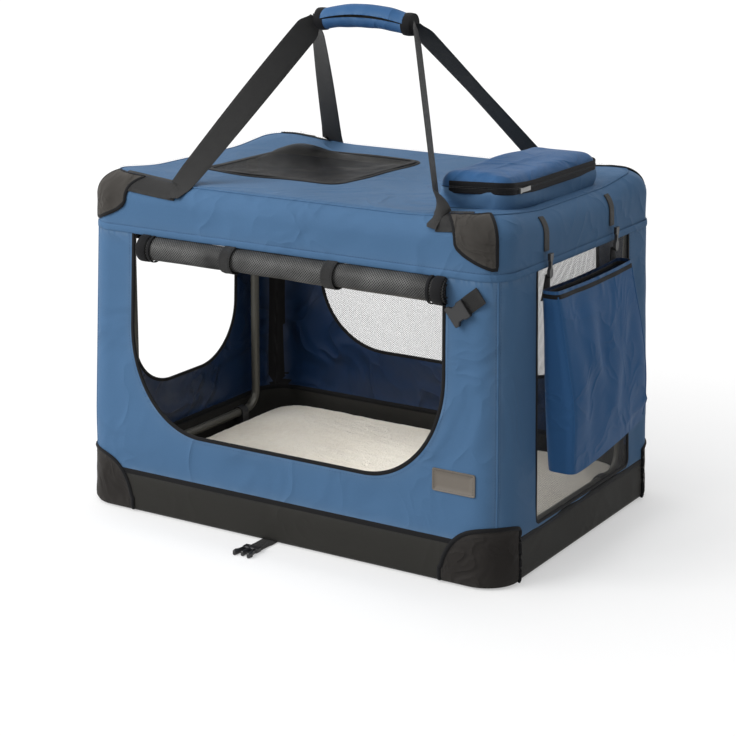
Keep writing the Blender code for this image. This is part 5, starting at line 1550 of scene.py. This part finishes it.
    def build_patch(self, sign_x: int, sign_y: int) -> None:
        """Pointed patch on the long side of the roof's corner with piping round it.

        Args:
            sign_x: -1 for the left corner, 1 for the right one.
            sign_y: -1 for the front, 1 for the rear.
        """
        name = corner_name("roof_patch", sign_x, sign_y)
        down = np.linspace(0.80, 0.10, 22)[:, None]
        wide = self.patch_reach * np.sin(math.pi / 2 * np.clip((0.84 - down) / 0.42, 0.0, 1.0))
        run = 0.003 + (wide - 0.003) * np.linspace(0.0, 1.0, 24)[None, :]
        lift = self.patch_gap + 0.0005 * waves(run, down * 0.07, 47 + sign_x, 0.03)
        grid = self.patch_point(sign_x, sign_y, run, np.broadcast_to(down, run.shape), lift)
        if sign_x * sign_y > 0:
            grid = grid[:, ::-1]
        form = Form()
        form.shell(grid, 0.0012, worn=0.010)
        normals = grid_normals(grid, False)
        edge = np.concatenate([grid[:, 0], grid[-1, 1:-1], grid[::-1, -1]])
        out = np.concatenate([normals[:, 0], normals[-1, 1:-1], normals[::-1, -1]])
        form.sweep(resample(edge, 70), resample(out, 70), oval(0.0058, 0.0034, 8), 1, True)
        # the roof patches take the lighter copy of the patch cloth: painted top light
        seat(form, name + "_cloth", "roof_patch_cloth binding_tape", "roof", Slot.PATCH, [name], Drop.ROOF)


# Roof bag


@dataclass
class RoofBag:
    """Zipped bag on the roof: an open body, a domed lid and the zip round three sides."""

    left: float = 0.200
    length: float = 0.108
    front: float = -0.168
    width: float = 0.284
    low: float = 0.5003
    rim: float = 0.5283
    top: float = 0.5530
    corner: float = 0.020

    def loop(self, inset: Array, height: Array, arc: int = 10, run: int = 20) -> Array:
        """Rings round the bag.

        Args:
            inset: How far each ring is drawn in.
            height: Height of each ring.
            arc: Steps round each corner.
            run: Steps along each side.

        Returns:
            Points of shape (rings, stations, 3).
        """
        inset, height = np.atleast_1d(inset), np.atleast_1d(height)
        corner = np.maximum(self.corner - inset * 0.6, 0.003)
        loops = plan_loop(self.length / 2 - inset, self.width / 2 - inset, corner, arc, run)
        return raised(loops + (self.left + self.length / 2, self.front + self.width / 2), height)

    def build(self) -> None:
        """Make the body, the lid and the zip."""
        self.build_body()
        self.build_lid()
        self.build_zip()

    def build_body(self) -> None:
        """Slumped side band and floor."""
        share = np.linspace(0.0, 1.0, 12)
        grid = self.loop(np.zeros(12), self.low + (self.rim - 0.0006 - self.low) * share)
        around = np.linspace(0.0, 0.78, grid.shape[1], endpoint=False)[None, :]
        bulge = 0.0018 + 0.0028 * waves(around, share[:, None] * 0.05, 51, 0.085)
        slump = np.sin(math.pi * share)[:, None] * bulge
        grid = grid + grid_normals(grid, True) * np.minimum(slump, 0.004)[..., None]
        floor = self.loop((0.0475, 0.02), (self.low, self.low))
        form = Form()
        form.shell(np.concatenate([floor, grid]), 0.0014, (0, 1, 2), True, fans=(True, False))
        seat(form, "roof_bag_cloth", "blue_cloth blue_lining binding_tape", "roof", Slot.BLUE,
             ["roof_bag_body"], spread=False)

    def build_lid(self) -> None:
        """Domed lid: rings shrink to the middle while the crown rises, higher toward the left."""
        share = np.concatenate([np.linspace(0.0, 0.30, 9), np.linspace(0.34, 1.0, 20)[:-1]])
        inset = share**1.6 * 0.052
        grid = self.loop(inset, np.full(len(share), self.rim + 0.0004))
        crown = 1 - (1 - np.clip(share / 0.62, 0, 1)) ** 2.4
        lean = 0.86 - 0.14 * (grid[..., 0] - self.left) / self.length
        dents = 1.0 + 0.10 * waves(grid[..., 0], grid[..., 1], 53, 0.11)
        grid[..., 2] += (self.top - self.rim) * crown[:, None] * np.clip(lean * dents, 0.0, 1.04)
        form = Form()
        form.shell(grid, 0.0014, (0, 1, 2), True, fans=(False, True))
        seat(form, "roof_bag_lid_cloth", "pocket_cloth blue_lining binding_tape", "bag_lid", Slot.BLUE,
             ["roof_bag_lid"], spread=False)

    def build_zip(self) -> None:
        """Zip tape above and below the teeth on the front, right and rear sides."""
        ring = self.loop(0.0, 0.0, 14, 40)[0]
        turn_x, turn_y = self.left + self.corner, np.array([self.front, self.front + self.width])
        start = int(np.argmin(np.hypot(ring[:, 0] - turn_x, ring[:, 1] - turn_y[0])))
        ring = np.roll(ring, -start, axis=0)
        end = int(np.argmin(np.hypot(ring[:, 0] - turn_x, ring[:, 1] - turn_y[1])))
        path = resample(ring[:end], 150)
        out = unit(np.cross(np.gradient(path, axis=0), UP))
        for name, body, offset in (("bag_zip_lower", "roof", -1), ("bag_zip_upper", "bag_lid", 1)):
            form = Form()
            seam = path + UP * self.rim
            middle = seam + UP * offset * 0.0044 + out * (0.0012 if offset < 0 else 0.0009)
            form.sweep(middle, out, oval(0.0082, 0.0014, 10, 0.6))
            form.stitches(middle + out * 0.0007 + UP * offset * 0.0016, out, 2)
            form.stitches(seam + UP * offset * 0.0009 + out * 0.0016, out, 1, 0.0022, 0.0019, 0.0019)
            seat(form, name, "binding_tape nylon_teeth dark_thread", body, Slot.BLACK, spread=False)


# Hanging pocket


@dataclass
class SidePocket:
    """Open pocket on two snap hooks: a slack shell with a bound rim, gussets and corner tabs."""

    centre: float = -0.0225
    half_width: float = 0.1245
    hook_middle: float = -0.018
    swing: float = 0.012
    back: float = 0.3535
    top: float = 0.398
    bottom: float = 0.150
    spread: float = 0.106

    def depth(self, fall: Array) -> Array:
        """Depth of the pocket from its rim, 0, to its bottom, 1."""
        return 0.024 + 0.024 * np.sin(math.pi * np.clip(fall * 0.74, 0, 1))

    def build(self) -> None:
        """Make the shell, its rim tape, the tabs and the loops."""
        grid = self.shaped(np.linspace(0.0, 1.0, 34))
        form = Form()
        form.shell(grid[::-1], 0.0014, (0, 1, 2), True, fans=(True, False))
        normals = grid_normals(grid[::-1], True)[::-1]
        rim = oval(0.0066, 0.0032, 10, 0.7)
        form.sweep(grid[1] - normals[1] * 0.0006, normals[1], rim, 2, True)
        seam, flat = resample(joined(grid[2]), 120), resample(joined(normals[2]), 120)
        form.stitches(seam + flat * 0.0004 - UP * 0.003, flat, 3)
        outer = grid[10]
        for sign in (-1, 1):
            score = outer[:, 0] - self.back + sign * (outer[:, 1] - self.centre) * 0.6
            welt = (slice(1, -1), int(np.argmax(score)))
            form.sweep(grid[welt] + normals[welt] * 0.0002, normals[welt], oval(0.0026, 0.0022, 8), 0)
        seat(form, "side_pocket_cloth", "pocket_cloth blue_lining binding_tape blue_thread", "pocket",
             Slot.BLUE, ["side_pocket"], Drop.POCKET)
        for name, sign in (("front", -1), ("rear", 1)):
            self.build_tab(name, self.hook_middle + sign * self.spread, sign)
            self.build_loop(name, self.hook_middle + sign * self.spread)

    def shaped(self, fall: Array) -> Array:
        """Rounded rings pulled by their own weight: a dipped rim, slack folds and a bottom lower in front.

        Args:
            fall: Share of the fall for each ring, 0 at the rim and 1 at the bottom.

        Returns:
            Points of shape (rings, stations, 3).
        """
        depth = self.depth(fall)
        wide = np.full(len(fall), self.half_width)
        loops = plan_loop(depth / 2, wide, np.minimum(0.013, depth * 0.36), 8, 26)
        middle = np.stack([self.back + depth / 2, np.full(len(fall), self.centre)], axis=-1)
        grid = raised(loops + middle[:, None, :], self.top - (self.top - self.bottom) * fall)
        across = (grid[..., 1] - self.centre) / self.half_width
        outer = smooth_step(0.0, 1.0, (grid[..., 0] - self.back) / self.depth(fall)[:, None])
        fallen = fall[:, None]
        grid[..., 2] += (0.0030 * across**2 - 0.0020) * (1 - fallen) ** 2
        grid[..., 2] += fallen**4 * (0.012 * across + 0.006 * np.abs(across) ** 3 - 0.002)
        folds = waves(grid[..., 1], grid[..., 2] * 0.55, 61, 0.085)
        pulls = np.exp(-((across + 0.9 - 1.3 * fallen) ** 2) / 0.02)
        pulls = pulls + np.exp(-((across - 0.9 + 1.2 * fallen) ** 2) / 0.02)
        puff = np.sin(math.pi * fallen) ** 0.8
        grid[..., 0] += outer * puff * (0.0035 * folds + 0.0025 * pulls - 0.001)
        crease = np.exp(-(((grid[..., 2] - 0.165 - 0.030 * across) / 0.006) ** 2))
        grid[..., 0] += outer * 0.003 * crease * smooth_step(-0.1, 0.8, across)
        shrink = 1 - 0.05 * fallen**6
        grid[..., 1] = self.centre + (grid[..., 1] - self.centre) * shrink + self.swing * fallen**1.5
        return grid

    def build_tab(self, name: str, middle: float, sign: int) -> None:
        """Folded corner tab from the hook's eye down over the pocket's corner.

        Args:
            name: Which corner, front or rear.
            middle: Place of the hook along Y.
            sign: -1 for the front, 1 for the rear.
        """
        fall = np.linspace(0.0, 1.0, 12)[:, None]
        half = 0.0055 + 0.0085 * fall**1.2
        across = np.linspace(-1.0, 1.0, 9)[None, :]
        height = 0.4165 - 0.034 * fall
        wide = middle + sign * 0.004 * fall + across * half
        out = self.back - 0.0002 + 0.0010 * np.cos(across * math.pi / 2) * (1 - fall)
        grid = space(out, wide, height)
        form = Form()
        form.shell(grid[::-1], 0.0018)
        seat(form, f"pocket_tab_{name}", "binding_tape", "pocket", Slot.WEBBING, drop=Drop.POCKET)

    def build_loop(self, name: str, middle: float) -> None:
        """Webbing loop sewn over the roof's edge down to the hook, doubled at its end.

        Args:
            name: Which hook, front or rear.
            middle: Its place along Y.
        """
        turn = np.linspace(math.pi / 4, 0.0, 8)
        radius = SIZE.roof_edge + 0.0012
        bend = np.column_stack([SIZE.half_x - SIZE.roof_edge + radius * np.cos(turn),
                                SIZE.height - SIZE.roof_edge + radius * np.sin(turn)])
        fall = np.array([(SIZE.half_x + 0.0013, height) for height in (0.4520, 0.4475)])
        route = resample(np.concatenate([bend, fall]), 24)
        path = space(route[:, 0], middle, route[:, 1])
        tangent = unit(np.gradient(path, axis=0))
        out = -unit(np.cross((0.0, 1.0, 0.0), tangent))
        out = out * np.sign(out[:, :1] + out[:, 2:] + 1e-9)
        form = Form()
        form.sweep(path, out, tape_section(0.015, 0.0016))
        across = np.array([0.0, 1.0, 0.0]) * np.linspace(-0.006, 0.006, 8)[:, None]
        seam = path[5] + out[5] * 0.0009 + across
        form.stitches(seam, out[5], 1, 0.003, 0.0022)
        seat(form, f"pocket_loop_{name}_tape", "webbing_tape dark_thread", "roof", Slot.WEBBING,
             [f"pocket_loop_{name}"], Drop.ROOF)


# Rolled doors


@dataclass
class RolledDoor:
    """Door of net and cloth rolled up under the roof band and held by two ties."""

    name: str
    side: Side
    length: float
    radius: float = 0.0185
    tie_reach: float = 0.086
    tie_width: float = 0.019
    turns: float = 3.3
    offset: float = 0.0
    fall: float = 0.290

    def build(self) -> None:
        """Make the scroll with its taped ends, and the ties."""
        self.build_scroll()
        names = ("left", "right") if self.side is Side.FRONT else ("rear", "front")
        for name, sign in zip(names, (-1, 1)):
            self.build_tie(self.name.replace("_roll", "_tie_") + name, sign * self.tie_reach)

    def axis(self) -> tuple[float, float]:
        """Distance of the roll's axis from the crate's middle, and its height."""
        return wall_halves(self.side)[1] - 0.00125, SIZE.seam - 0.0209

    def build_scroll(self) -> None:
        """Spiral sheet: the radius grows with the turn, pinched at the ties and uneven along its length."""
        turn = np.linspace(0.0, self.turns * math.tau, 150)[None, :]
        along = np.linspace(-0.5, 0.5, 90)[:, None] * self.length
        grow = turn / (self.turns * math.tau)
        pinch = sum(np.exp(-(((along - sign * self.tie_reach) / 0.016) ** 2)) for sign in (-1, 1))
        uneven = 0.0007 * waves(along, turn * 0.012, 71, 0.09) - 0.0010 * pinch
        reach = 0.0050 + (self.radius - 0.0058) * grow**0.85 + uneven * grow
        ends = (np.abs(along) / self.length * 2) ** 8
        shift = self.offset + 0.0012 * waves(turn * 0.01, 0.0, 73, 0.05) * np.sign(along) * ends
        angle = turn + math.pi / 2
        out, height = self.axis()
        form = Form()
        form.shell(wall_place(self.side, along + shift, out + reach * np.cos(angle),
                              height + reach * np.sin(angle) - 0.0004), 0.0011, (0, 0, 1))
        for end in (-1, 1):
            for inset, wide, lift in ((0.009, 0.016, 0.0007), (0.0225, 0.005, 0.0006)):
                place = self.offset + end * (self.length / 2 - inset)
                ring, normals = self.hoop(place, np.full(40, self.radius + lift))
                form.sweep(ring, normals, oval(wide, 0.0018, 8, 0.6), 1, True)
        roll = seat(form, self.name + "_cloth", "rolled_net binding_tape", "roof", Slot.NET, [self.name],
                    Drop.ROOF)

    def hoop(self, place: float, reach: Array) -> tuple[Array, Array]:
        """Ring round the roll's axis.

        Args:
            place: Where it lies along the wall.
            reach: Radius at each of its points.

        Returns:
            Points of the ring and their outward directions.
        """
        turn = np.linspace(0.0, math.tau, len(reach), endpoint=False)
        out, height = self.axis()
        ring = wall_place(self.side, place, out + reach * np.cos(turn), height + reach * np.sin(turn))
        return ring, unit(ring - wall_place(self.side, place, out, height))

    def build_tie(self, node: str, place: float) -> None:
        """Tape band round the roll whose ends are sewn under the roof band.

        Args:
            node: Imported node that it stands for.
            place: Where it lies along the wall.
        """
        turn = np.linspace(0.0, math.tau, 48, endpoint=False)
        reach = self.radius + 0.0010 + 0.0006 * np.cos(turn * 3)
        ring, normals = self.hoop(place, reach)
        form = Form()
        form.sweep(ring, normals, tape_section(self.tie_width, 0.0013), 0, True)
        for offset in (-0.35, 0.35):
            seam = self.hoop(place + offset * self.tie_width, reach * 1.045)[0]
            form.stitches(joined(seam), joined(normals), 1)
        seat(form, node + "_tape", "webbing_tape dark_thread", "roof", Slot.WEBBING, [node], Drop.ROOF)


# Carrying handle


@dataclass
class CarryHandle:
    """Four straps from the roof's long edges to a padded grip."""

    offset: float = -0.0165
    height: float = 0.7225
    half_grip: float = 0.0695
    width: float = 0.038
    thickness: float = 0.0016
    foot: float = 0.292
    edge_tilt: float = math.radians(38.0)
    arch: float = 0.0075

    def build(self) -> None:
        """Make the straps, then the sleeve, its core and its cuffs."""
        self.build_strap(-1, -1, 0.190, (12.0, 36.0, 62.0), 0.0)
        self.build_strap(1, -1, 0.247, (86.0, 88.0, 88.0), 0.006)
        self.build_strap(-1, 1, 0.226, (10.0, 22.0, 42.0), -0.008)
        self.build_strap(1, 1, 0.168, (0.0, -5.0, 4.0), -0.004)
        self.build_grip()

    def build_strap(self, sign_x: int, sign_y: int, lift: float, turns: tuple[float, float, float],
                    shift: float) -> None:
        """One strap: flat along the roof's edge, folded, then twisting as it rises to the grip.

        Args:
            sign_x: -1 for the left strap, 1 for the right one.
            sign_y: -1 for the front edge, 1 for the rear one.
            lift: Distance from the crate's middle at which the strap leaves the edge.
            turns: Turn about its own line just over the fold, half way up and at the grip, in degrees.
            shift: Sideways place of its upper end beside the cuff's middle.
        """
        facing = np.array([sign_y * math.sin(self.edge_tilt), math.cos(self.edge_tilt)])
        curve_centre = np.array([sign_y * (SIZE.half_y - SIZE.roof_edge), SIZE.height - SIZE.roof_edge])
        anchor = curve_centre + facing * (SIZE.roof_edge + 0.0018)
        flat = np.array([0.0, *facing])
        lay = np.linspace(self.foot, lift, 14)
        low = space(sign_x * lay, *anchor)
        hand_x = self.offset + sign_x * (self.half_grip + 0.0125) + shift
        hand = np.array([hand_x, sign_y * 0.007, self.height - 0.001])
        first = np.array([sign_x * lift, *anchor])
        share = np.linspace(0.0, 1.0, 60)[:, None]
        near = hand + (first - hand) * 0.20 + UP * 0.001
        low_third = first + (hand - first) * 0.33
        rise = (1 - share) ** 3 * first + 3 * (1 - share) ** 2 * share * low_third
        rise = rise + 3 * (1 - share) * share**2 * near + share**3 * hand
        path = np.concatenate([low[-2:-1], rise])
        tangent = unit(np.gradient(path, axis=0))
        turn = np.concatenate([np.zeros(1), np.interp(share[:, 0], (0, 0.10, 0.50, 1.0), (0, *turns))])
        inward = np.broadcast_to(np.array([-sign_x, 0.0, 0.0]), path.shape)
        inward = unit(inward - tangent * np.sum(inward * tangent, axis=1, keepdims=True))
        level = unit(flat - tangent * np.sum(flat * tangent, axis=1, keepdims=True))
        blend = np.radians(turn)[:, None]
        normals = level * np.cos(blend) + inward * np.sin(blend)
        normals[:2] = flat
        along = np.concatenate([np.zeros(1), share[:, 0]])
        scale = 1.0 - 0.42 * smooth_step(0.90, 1.0, along)
        form = Form()
        form.sweep(path, normals, tape_section(self.width, self.thickness, 11), 0, scale=scale)
        bend = np.linspace(-0.5, 0.5, 11)[None, ::sign_x * sign_y] * self.width / (SIZE.roof_edge + 0.002)
        bend = self.edge_tilt + bend
        reach = SIZE.roof_edge + 0.0022
        out, up = curve_centre[0] + sign_y * reach * np.sin(bend), curve_centre[1] + reach * np.cos(bend)
        form.shell(space(low[:, :1], out, up), self.thickness)
        box = np.array([(0.3, -0.35), (0.3, 0.35), (-0.3, 0.35), (-0.3, -0.35), (0.3, -0.35), (-0.3, 0.35)])
        across = np.cross([1.0, 0.0, 0.0], flat)
        seat_at = low[4] + flat * 0.0011
        seam = seat_at + box[:, :1] * np.array([[0.05, 0, 0]]) + box[:, 1:] * across * self.width
        form.stitches(resample(seam, 60), flat, 1)
        name = corner_name("carry_strap", sign_x, sign_y)
        strap = form.build(name + "_tape", PALETTE.get("webbing_tape dark_thread"))
        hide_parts(name)
        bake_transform(strap)
        LOG.info("%s: %d faces from roof to grip", strap.name, len(strap.data.polygons))

    def build_grip(self) -> None:
        """Sleeve that closes round the straps with an open slit, the rolled core in it and two cuffs."""
        self.build_sleeve()
        core = Form()
        share = np.linspace(-1, 1, 30)
        height = self.height + self.arch * (1 - share**2)
        line = space(share * (self.half_grip + 0.004) + self.offset, 0.0, height)
        core.sweep(line, UP, oval(0.0225, 0.0205, 20, 0.85))
        seat(core, "grip_core", "webbing_tape", "grip", Slot.WEBBING)
        for name, sign in (("left", -1), ("right", 1)):
            self.build_cuff(name, sign)

    def build_sleeve(self) -> None:
        """Sheet rolled once round the straps: its radius grows with the turn, and its slit narrows midway."""
        along = np.linspace(-1.0, 1.0, 60)[:, None]
        gap = 0.05 + 0.07 * np.cos(along * math.pi / 2)
        facing = math.radians(176.0)
        turn = facing + gap + (math.tau - 2 * gap) * np.linspace(0.0, 1.0, 48)[None, :]
        lap = 0.0020 * np.linspace(0.0, 1.0, 48)[None, :]
        swell = 0.0016 * np.cos(along * math.pi / 2) + 0.0006 * waves(along * 0.07, turn * 0.015, 81, 0.05)
        reach = 0.0145 + swell + lap
        arch = self.arch * (1 - along**2)
        height = self.height + arch + reach * np.sin(turn)
        grid = space(self.offset + along * self.half_grip, reach * np.cos(turn), height)
        form = Form()
        form.shell(grid, 0.0018, (0, 1, 1))
        seat(form, "grip_sleeve_cloth", "pocket_cloth binding_tape", "grip", Slot.BLUE, ["grip_sleeve"])

    def build_cuff(self, name: str, sign: int) -> None:
        """Puffed ring of tape at one end of the sleeve.

        Args:
            name: Which end.
            sign: -1 for the left end, 1 for the right one.
        """
        cuff = Form()
        reach = self.offset + sign * np.linspace(self.half_grip - 0.003, self.half_grip + 0.0115, 8)
        puff = 0.0158 + 0.0009 * np.sin(np.linspace(0.2, math.pi - 0.2, 8))[:, None]
        turn = np.linspace(0.0, math.tau, 36, endpoint=False)
        rings = space(reach[:, None], puff * np.cos(turn) * 0.98, self.height + puff * np.sin(turn))
        cuff.grid(rings, 0, True, sign < 0)
        cuff.fan(rings[0], 0, sign > 0)
        cuff.fan(rings[-1], 0, sign < 0)
        seat(cuff, f"grip_cuff_{name}_tape", "binding_tape", "grip", Slot.WEBBING, [f"grip_cuff_{name}"])


# Closing buckle and label


@dataclass
class SmallParts:
    """Strap ends of the closing buckle and the bare label plate."""

    slope: float = math.radians(38.0)

    def build(self) -> None:
        """Make both buckle straps and the label."""
        self.build_corner_strap()
        self.build_floor_strap()
        self.build_label()

    def build_corner_strap(self) -> None:
        """Short doubled strap from the corner seam to the socket."""
        root = np.array([0.314, -0.25175, 0.404])
        toward = np.array([-math.cos(self.slope), 0.0, -math.sin(self.slope)])
        share = np.linspace(-0.006, 0.024, 16)[:, None]
        lift = -0.0009 * np.sin(np.clip(share / 0.024, 0, 1) * math.pi)
        path = root + toward * share + np.array([0.0, 1.0, 0.0]) * lift
        form = Form()
        form.sweep(path, (0.0, -1.0, 0.0), tape_section(0.024, 0.0022))
        across = np.array([-math.sin(self.slope), 0.0, math.cos(self.slope)])
        stations = np.linspace(-0.010, 0.010, 9)[:, None]
        seam = root + toward * 0.005 + across * stations + np.array([0.0, -0.0014, 0.0])
        form.stitches(seam, (0.0, -1.0, 0.0), 1)
        seat(form, "corner_strap_tape", "webbing_tape dark_thread", "corner_buckle", Slot.WEBBING,
             ["corner_strap"])

    def build_floor_strap(self) -> None:
        """Strap that lies on the floor in front of the tray."""
        reach = np.linspace(-0.2612, -0.2936, 18)
        rise = 0.0013 + 0.0005 * np.sin(np.linspace(0, math.pi, 18))
        path = space(SIZE.floor_strap_x, reach, rise)
        form = Form()
        form.sweep(path, UP, tape_section(0.024, 0.0016))
        seam = space(SIZE.floor_strap_x + np.linspace(-0.010, 0.010, 9), -0.268, 0.0024)
        form.stitches(seam, UP, 1)
        seat(form, "floor_strap_tape", "webbing_tape dark_thread", "floor_buckle", Slot.WEBBING,
             ["floor_strap"])

    def build_label(self) -> None:
        """Bare moulded plate sewn on the front wall, with a raised border."""
        middle = np.array([0.2785, 0.146])
        half_x, half_z, border = 0.0325, 0.0160, 0.0030
        inset = np.array([0.0, 0.0004, 0.0018, 0.0024, 0.010])
        rise = np.array([0.0006, 0.0014, 0.0014, 0.0009, 0.0009])
        loops = plan_loop(half_x - inset, half_z - inset, np.maximum(border - inset, 0.0006), 6, 10) + middle
        grid = wall_point(Side.FRONT, loops[..., 0], loops[..., 1], 0.0006 + rise[:, None])
        form = Form()
        form.grid(grid, 0, True)
        form.fan(grid[-1])
        back = wall_point(Side.FRONT, loops[0, :, 0], loops[0, :, 1], 0.0004)
        form.grid(np.stack([back, grid[0]]), 0, True)
        form.fan(back, flip=True)
        line = plan_loop(half_x - border, half_z - border, 0.0008, 6, 10)[0] + middle
        seam = wall_point(Side.FRONT, line[:, 0], line[:, 1], 0.0017)
        form.stitches(joined(seam), (0.0, -1.0, 0.0), 1, 0.0034, 0.0024, 0.0005)
        seat(form, "label_plate", "label_rubber dark_thread", "base", Slot.PATCH, drop=Drop.WALL)


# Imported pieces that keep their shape


@dataclass
class PackedPieces:
    """Frame, clamps, hooks and buckles: they keep their shape and get finishes."""

    def build(self) -> None:
        """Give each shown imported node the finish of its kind."""
        plastic = ("bracket", "leg_cap", "snap_channel", "hook", "buckle")
        kinds = [("frame", "painted_steel"), *((word, "moulded_plastic") for word in plastic),
                 ("slider", "cast_zinc"), ("board", "pressed_board")]
        for item in bpy.data.objects:
            if item.type != "MESH" or "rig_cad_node" not in item:
                continue
            for word, finish in kinds:
                if word in item.name:
                    for place in item.material_slots:
                        place.material = PALETTE.made[finish]
                    LOG.info("%s: %s", item.name, finish)
                    break


# Studio


@dataclass(frozen=True)
class Lamp:
    """One soft square lamp."""

    name: str
    place: tuple[float, float, float]
    target: tuple[float, float, float]
    size: float
    power: float
    spread: float = math.pi

    def build(self) -> None:
        """Put the lamp at its place and turn it to its target."""
        data = bpy.data.lights.new(self.name, "AREA")
        data.size = self.size
        data.energy = self.power
        data.spread = self.spread
        lamp = bpy.data.objects.new(self.name, data)
        bpy.context.scene.collection.objects.link(lamp)
        spot = np.array(self.place) + SHIFT
        lamp.location = tuple(spot)
        aim = np.array(self.target) + SHIFT - spot
        pitch = math.atan2(math.hypot(aim[0], aim[1]), -aim[2])
        lamp.rotation_euler = (pitch, 0.0, math.atan2(aim[1], aim[0]) - math.pi / 2)


@dataclass
class Studio:
    """Camera, soft lights and a pale floor, as in the photograph."""

    lens: float = 94.2
    place: tuple[float, float, float] = (1.4616, -2.4063, 0.9934)
    yaw: float = 31.43
    pitch: float = 15.68
    roll: float = 0.39
    floor_reach: float = 40.0

    def build(self) -> None:
        """Make the camera, the lights, the background and the floor."""
        bpy.context.scene.view_settings.view_transform = "Standard"
        self.build_camera()
        self.build_lights()
        self.build_world()
        self.build_floor()

    def build_camera(self) -> None:
        """Camera fitted to the outline of the crate in the photograph."""
        data = bpy.data.cameras.new("camera")
        data.lens = self.lens
        data.sensor_width = 36.0
        camera = bpy.data.objects.new("camera", data)
        bpy.context.scene.collection.objects.link(camera)
        camera.location = tuple(np.array(self.place) + SHIFT)
        turn = Euler((math.radians(90.0 - self.pitch), 0.0, math.radians(self.yaw)), "XYZ").to_matrix()
        tilt = Euler((0.0, 0.0, math.radians(self.roll)), "XYZ").to_matrix()
        camera.rotation_euler = (turn @ tilt).to_euler("XYZ")
        bpy.context.scene.camera = camera

    def build_lights(self) -> None:
        """A wide key from the front left, a roof light, a soft light over the mat and the sky's."""
        Lamp("key", (-1.6, -2.3, 1.9), (0.0, 0.0, 0.25), 1.8, 60.0).build()
        Lamp("top", (-0.3, 0.1, 2.3), (0.0, 0.0, 0.3), 1.8, 2.0).build()
        Lamp("mat", (0.0, 0.02, 0.42), (0.0, 0.0, 0.0), 0.34, 0.70, math.radians(125.0)).build()
        sun = bpy.data.lights.new("sky_light", "SUN")
        sun.energy = 0.45
        sun.angle = math.radians(120.0)
        lamp = bpy.data.objects.new("sky_light", sun)
        bpy.context.scene.collection.objects.link(lamp)
        lamp.rotation_euler = (math.radians(12.0), math.radians(-12.0), 0.0)

    @staticmethod
    def seen(graph: Graph) -> Socket:
        """One for camera, glossy and transmitted rays, so that mirrors and glass show the same background.

        Args:
            graph: Graph that takes the nodes.

        Returns:
            The socket, 1 for those rays and 0 for all others.
        """
        path = graph.add("ShaderNodeLightPath")
        mirror = graph.math("MAXIMUM", path.outputs["Is Glossy Ray"], path.outputs["Is Transmission Ray"])
        return graph.math("MAXIMUM", path.outputs["Is Camera Ray"], mirror)

    def build_world(self) -> None:
        """White background whose light is weaker from the right."""
        world = bpy.data.worlds.new("studio")
        world.use_nodes = True
        graph = Graph(world.node_tree)
        world.node_tree.nodes.clear()
        turn = graph.add("ShaderNodeTexCoord").outputs["Generated"]
        side = graph.add("ShaderNodeSeparateXYZ", {0: turn}).outputs[0]
        span = {"Value": side, "From Min": 0.05, "From Max": 0.75, "To Min": 0.80, "To Max": 0.22}
        shade = graph.add("ShaderNodeMapRange", span)
        strength = graph.math("MAXIMUM", self.seen(graph), shade.outputs[0])
        sky = graph.add("ShaderNodeBackground", {0: (1.0, 1.0, 1.0, 1.0), 1: strength})
        graph.add("ShaderNodeOutputWorld", {0: sky.outputs[0]})
        bpy.context.scene.world = world

    def build_floor(self) -> None:
        """Pale floor that takes the soft shadow."""
        mesh = bpy.data.meshes.new("floor")
        corners = [(x * self.floor_reach, y * self.floor_reach, -0.0002) for x, y in CORNERS]
        mesh.from_pydata(corners, [], [(0, 2, 3, 1)])
        floor = bpy.data.objects.new("floor", mesh)
        bpy.context.scene.collection.objects.link(floor)
        made = Surface("pale_floor")
        graph = made.graph
        seen = self.seen(graph)
        reach = graph.add("ShaderNodeVectorMath", {0: made.place}, operation="LENGTH").outputs["Value"]
        span = {"Value": reach, "From Min": 0.45, "From Max": 1.3, "To Min": 0.40, "To Max": 1.0}
        away = graph.math("MULTIPLY", graph.add("ShaderNodeMapRange", span).outputs[0], seen)
        near = graph.mix(seen, (0.50, 0.50, 0.50, 1.0), (0.98, 0.98, 0.98, 1.0))
        mesh.materials.append(made.finish({
            "Base Color": graph.mix(away, near, (0.0, 0.0, 0.0, 1.0)),
            "Emission Color": (1.0, 1.0, 1.0, 1.0),
            "Emission Strength": away,
            "Roughness": 0.9,
        }))


def main() -> None:
    """Build the crate piece by piece."""
    logging.basicConfig(level=logging.INFO, format="%(name)s %(message)s")
    PALETTE.build()
    front_roll = RolledDoor("front_door_roll", Side.FRONT, 0.512, offset=0.011)
    left_roll = RolledDoor("left_door_roll", Side.LEFT, 0.262)
    for part in (Studio(), Tray(), FleeceMat(), Walls(), RoofCloth(), RoofBag(), SidePocket(), front_roll,
                 left_roll, CarryHandle(), SmallParts(), PackedPieces()):
        part.build()


if __name__ == "__main__":
    main()
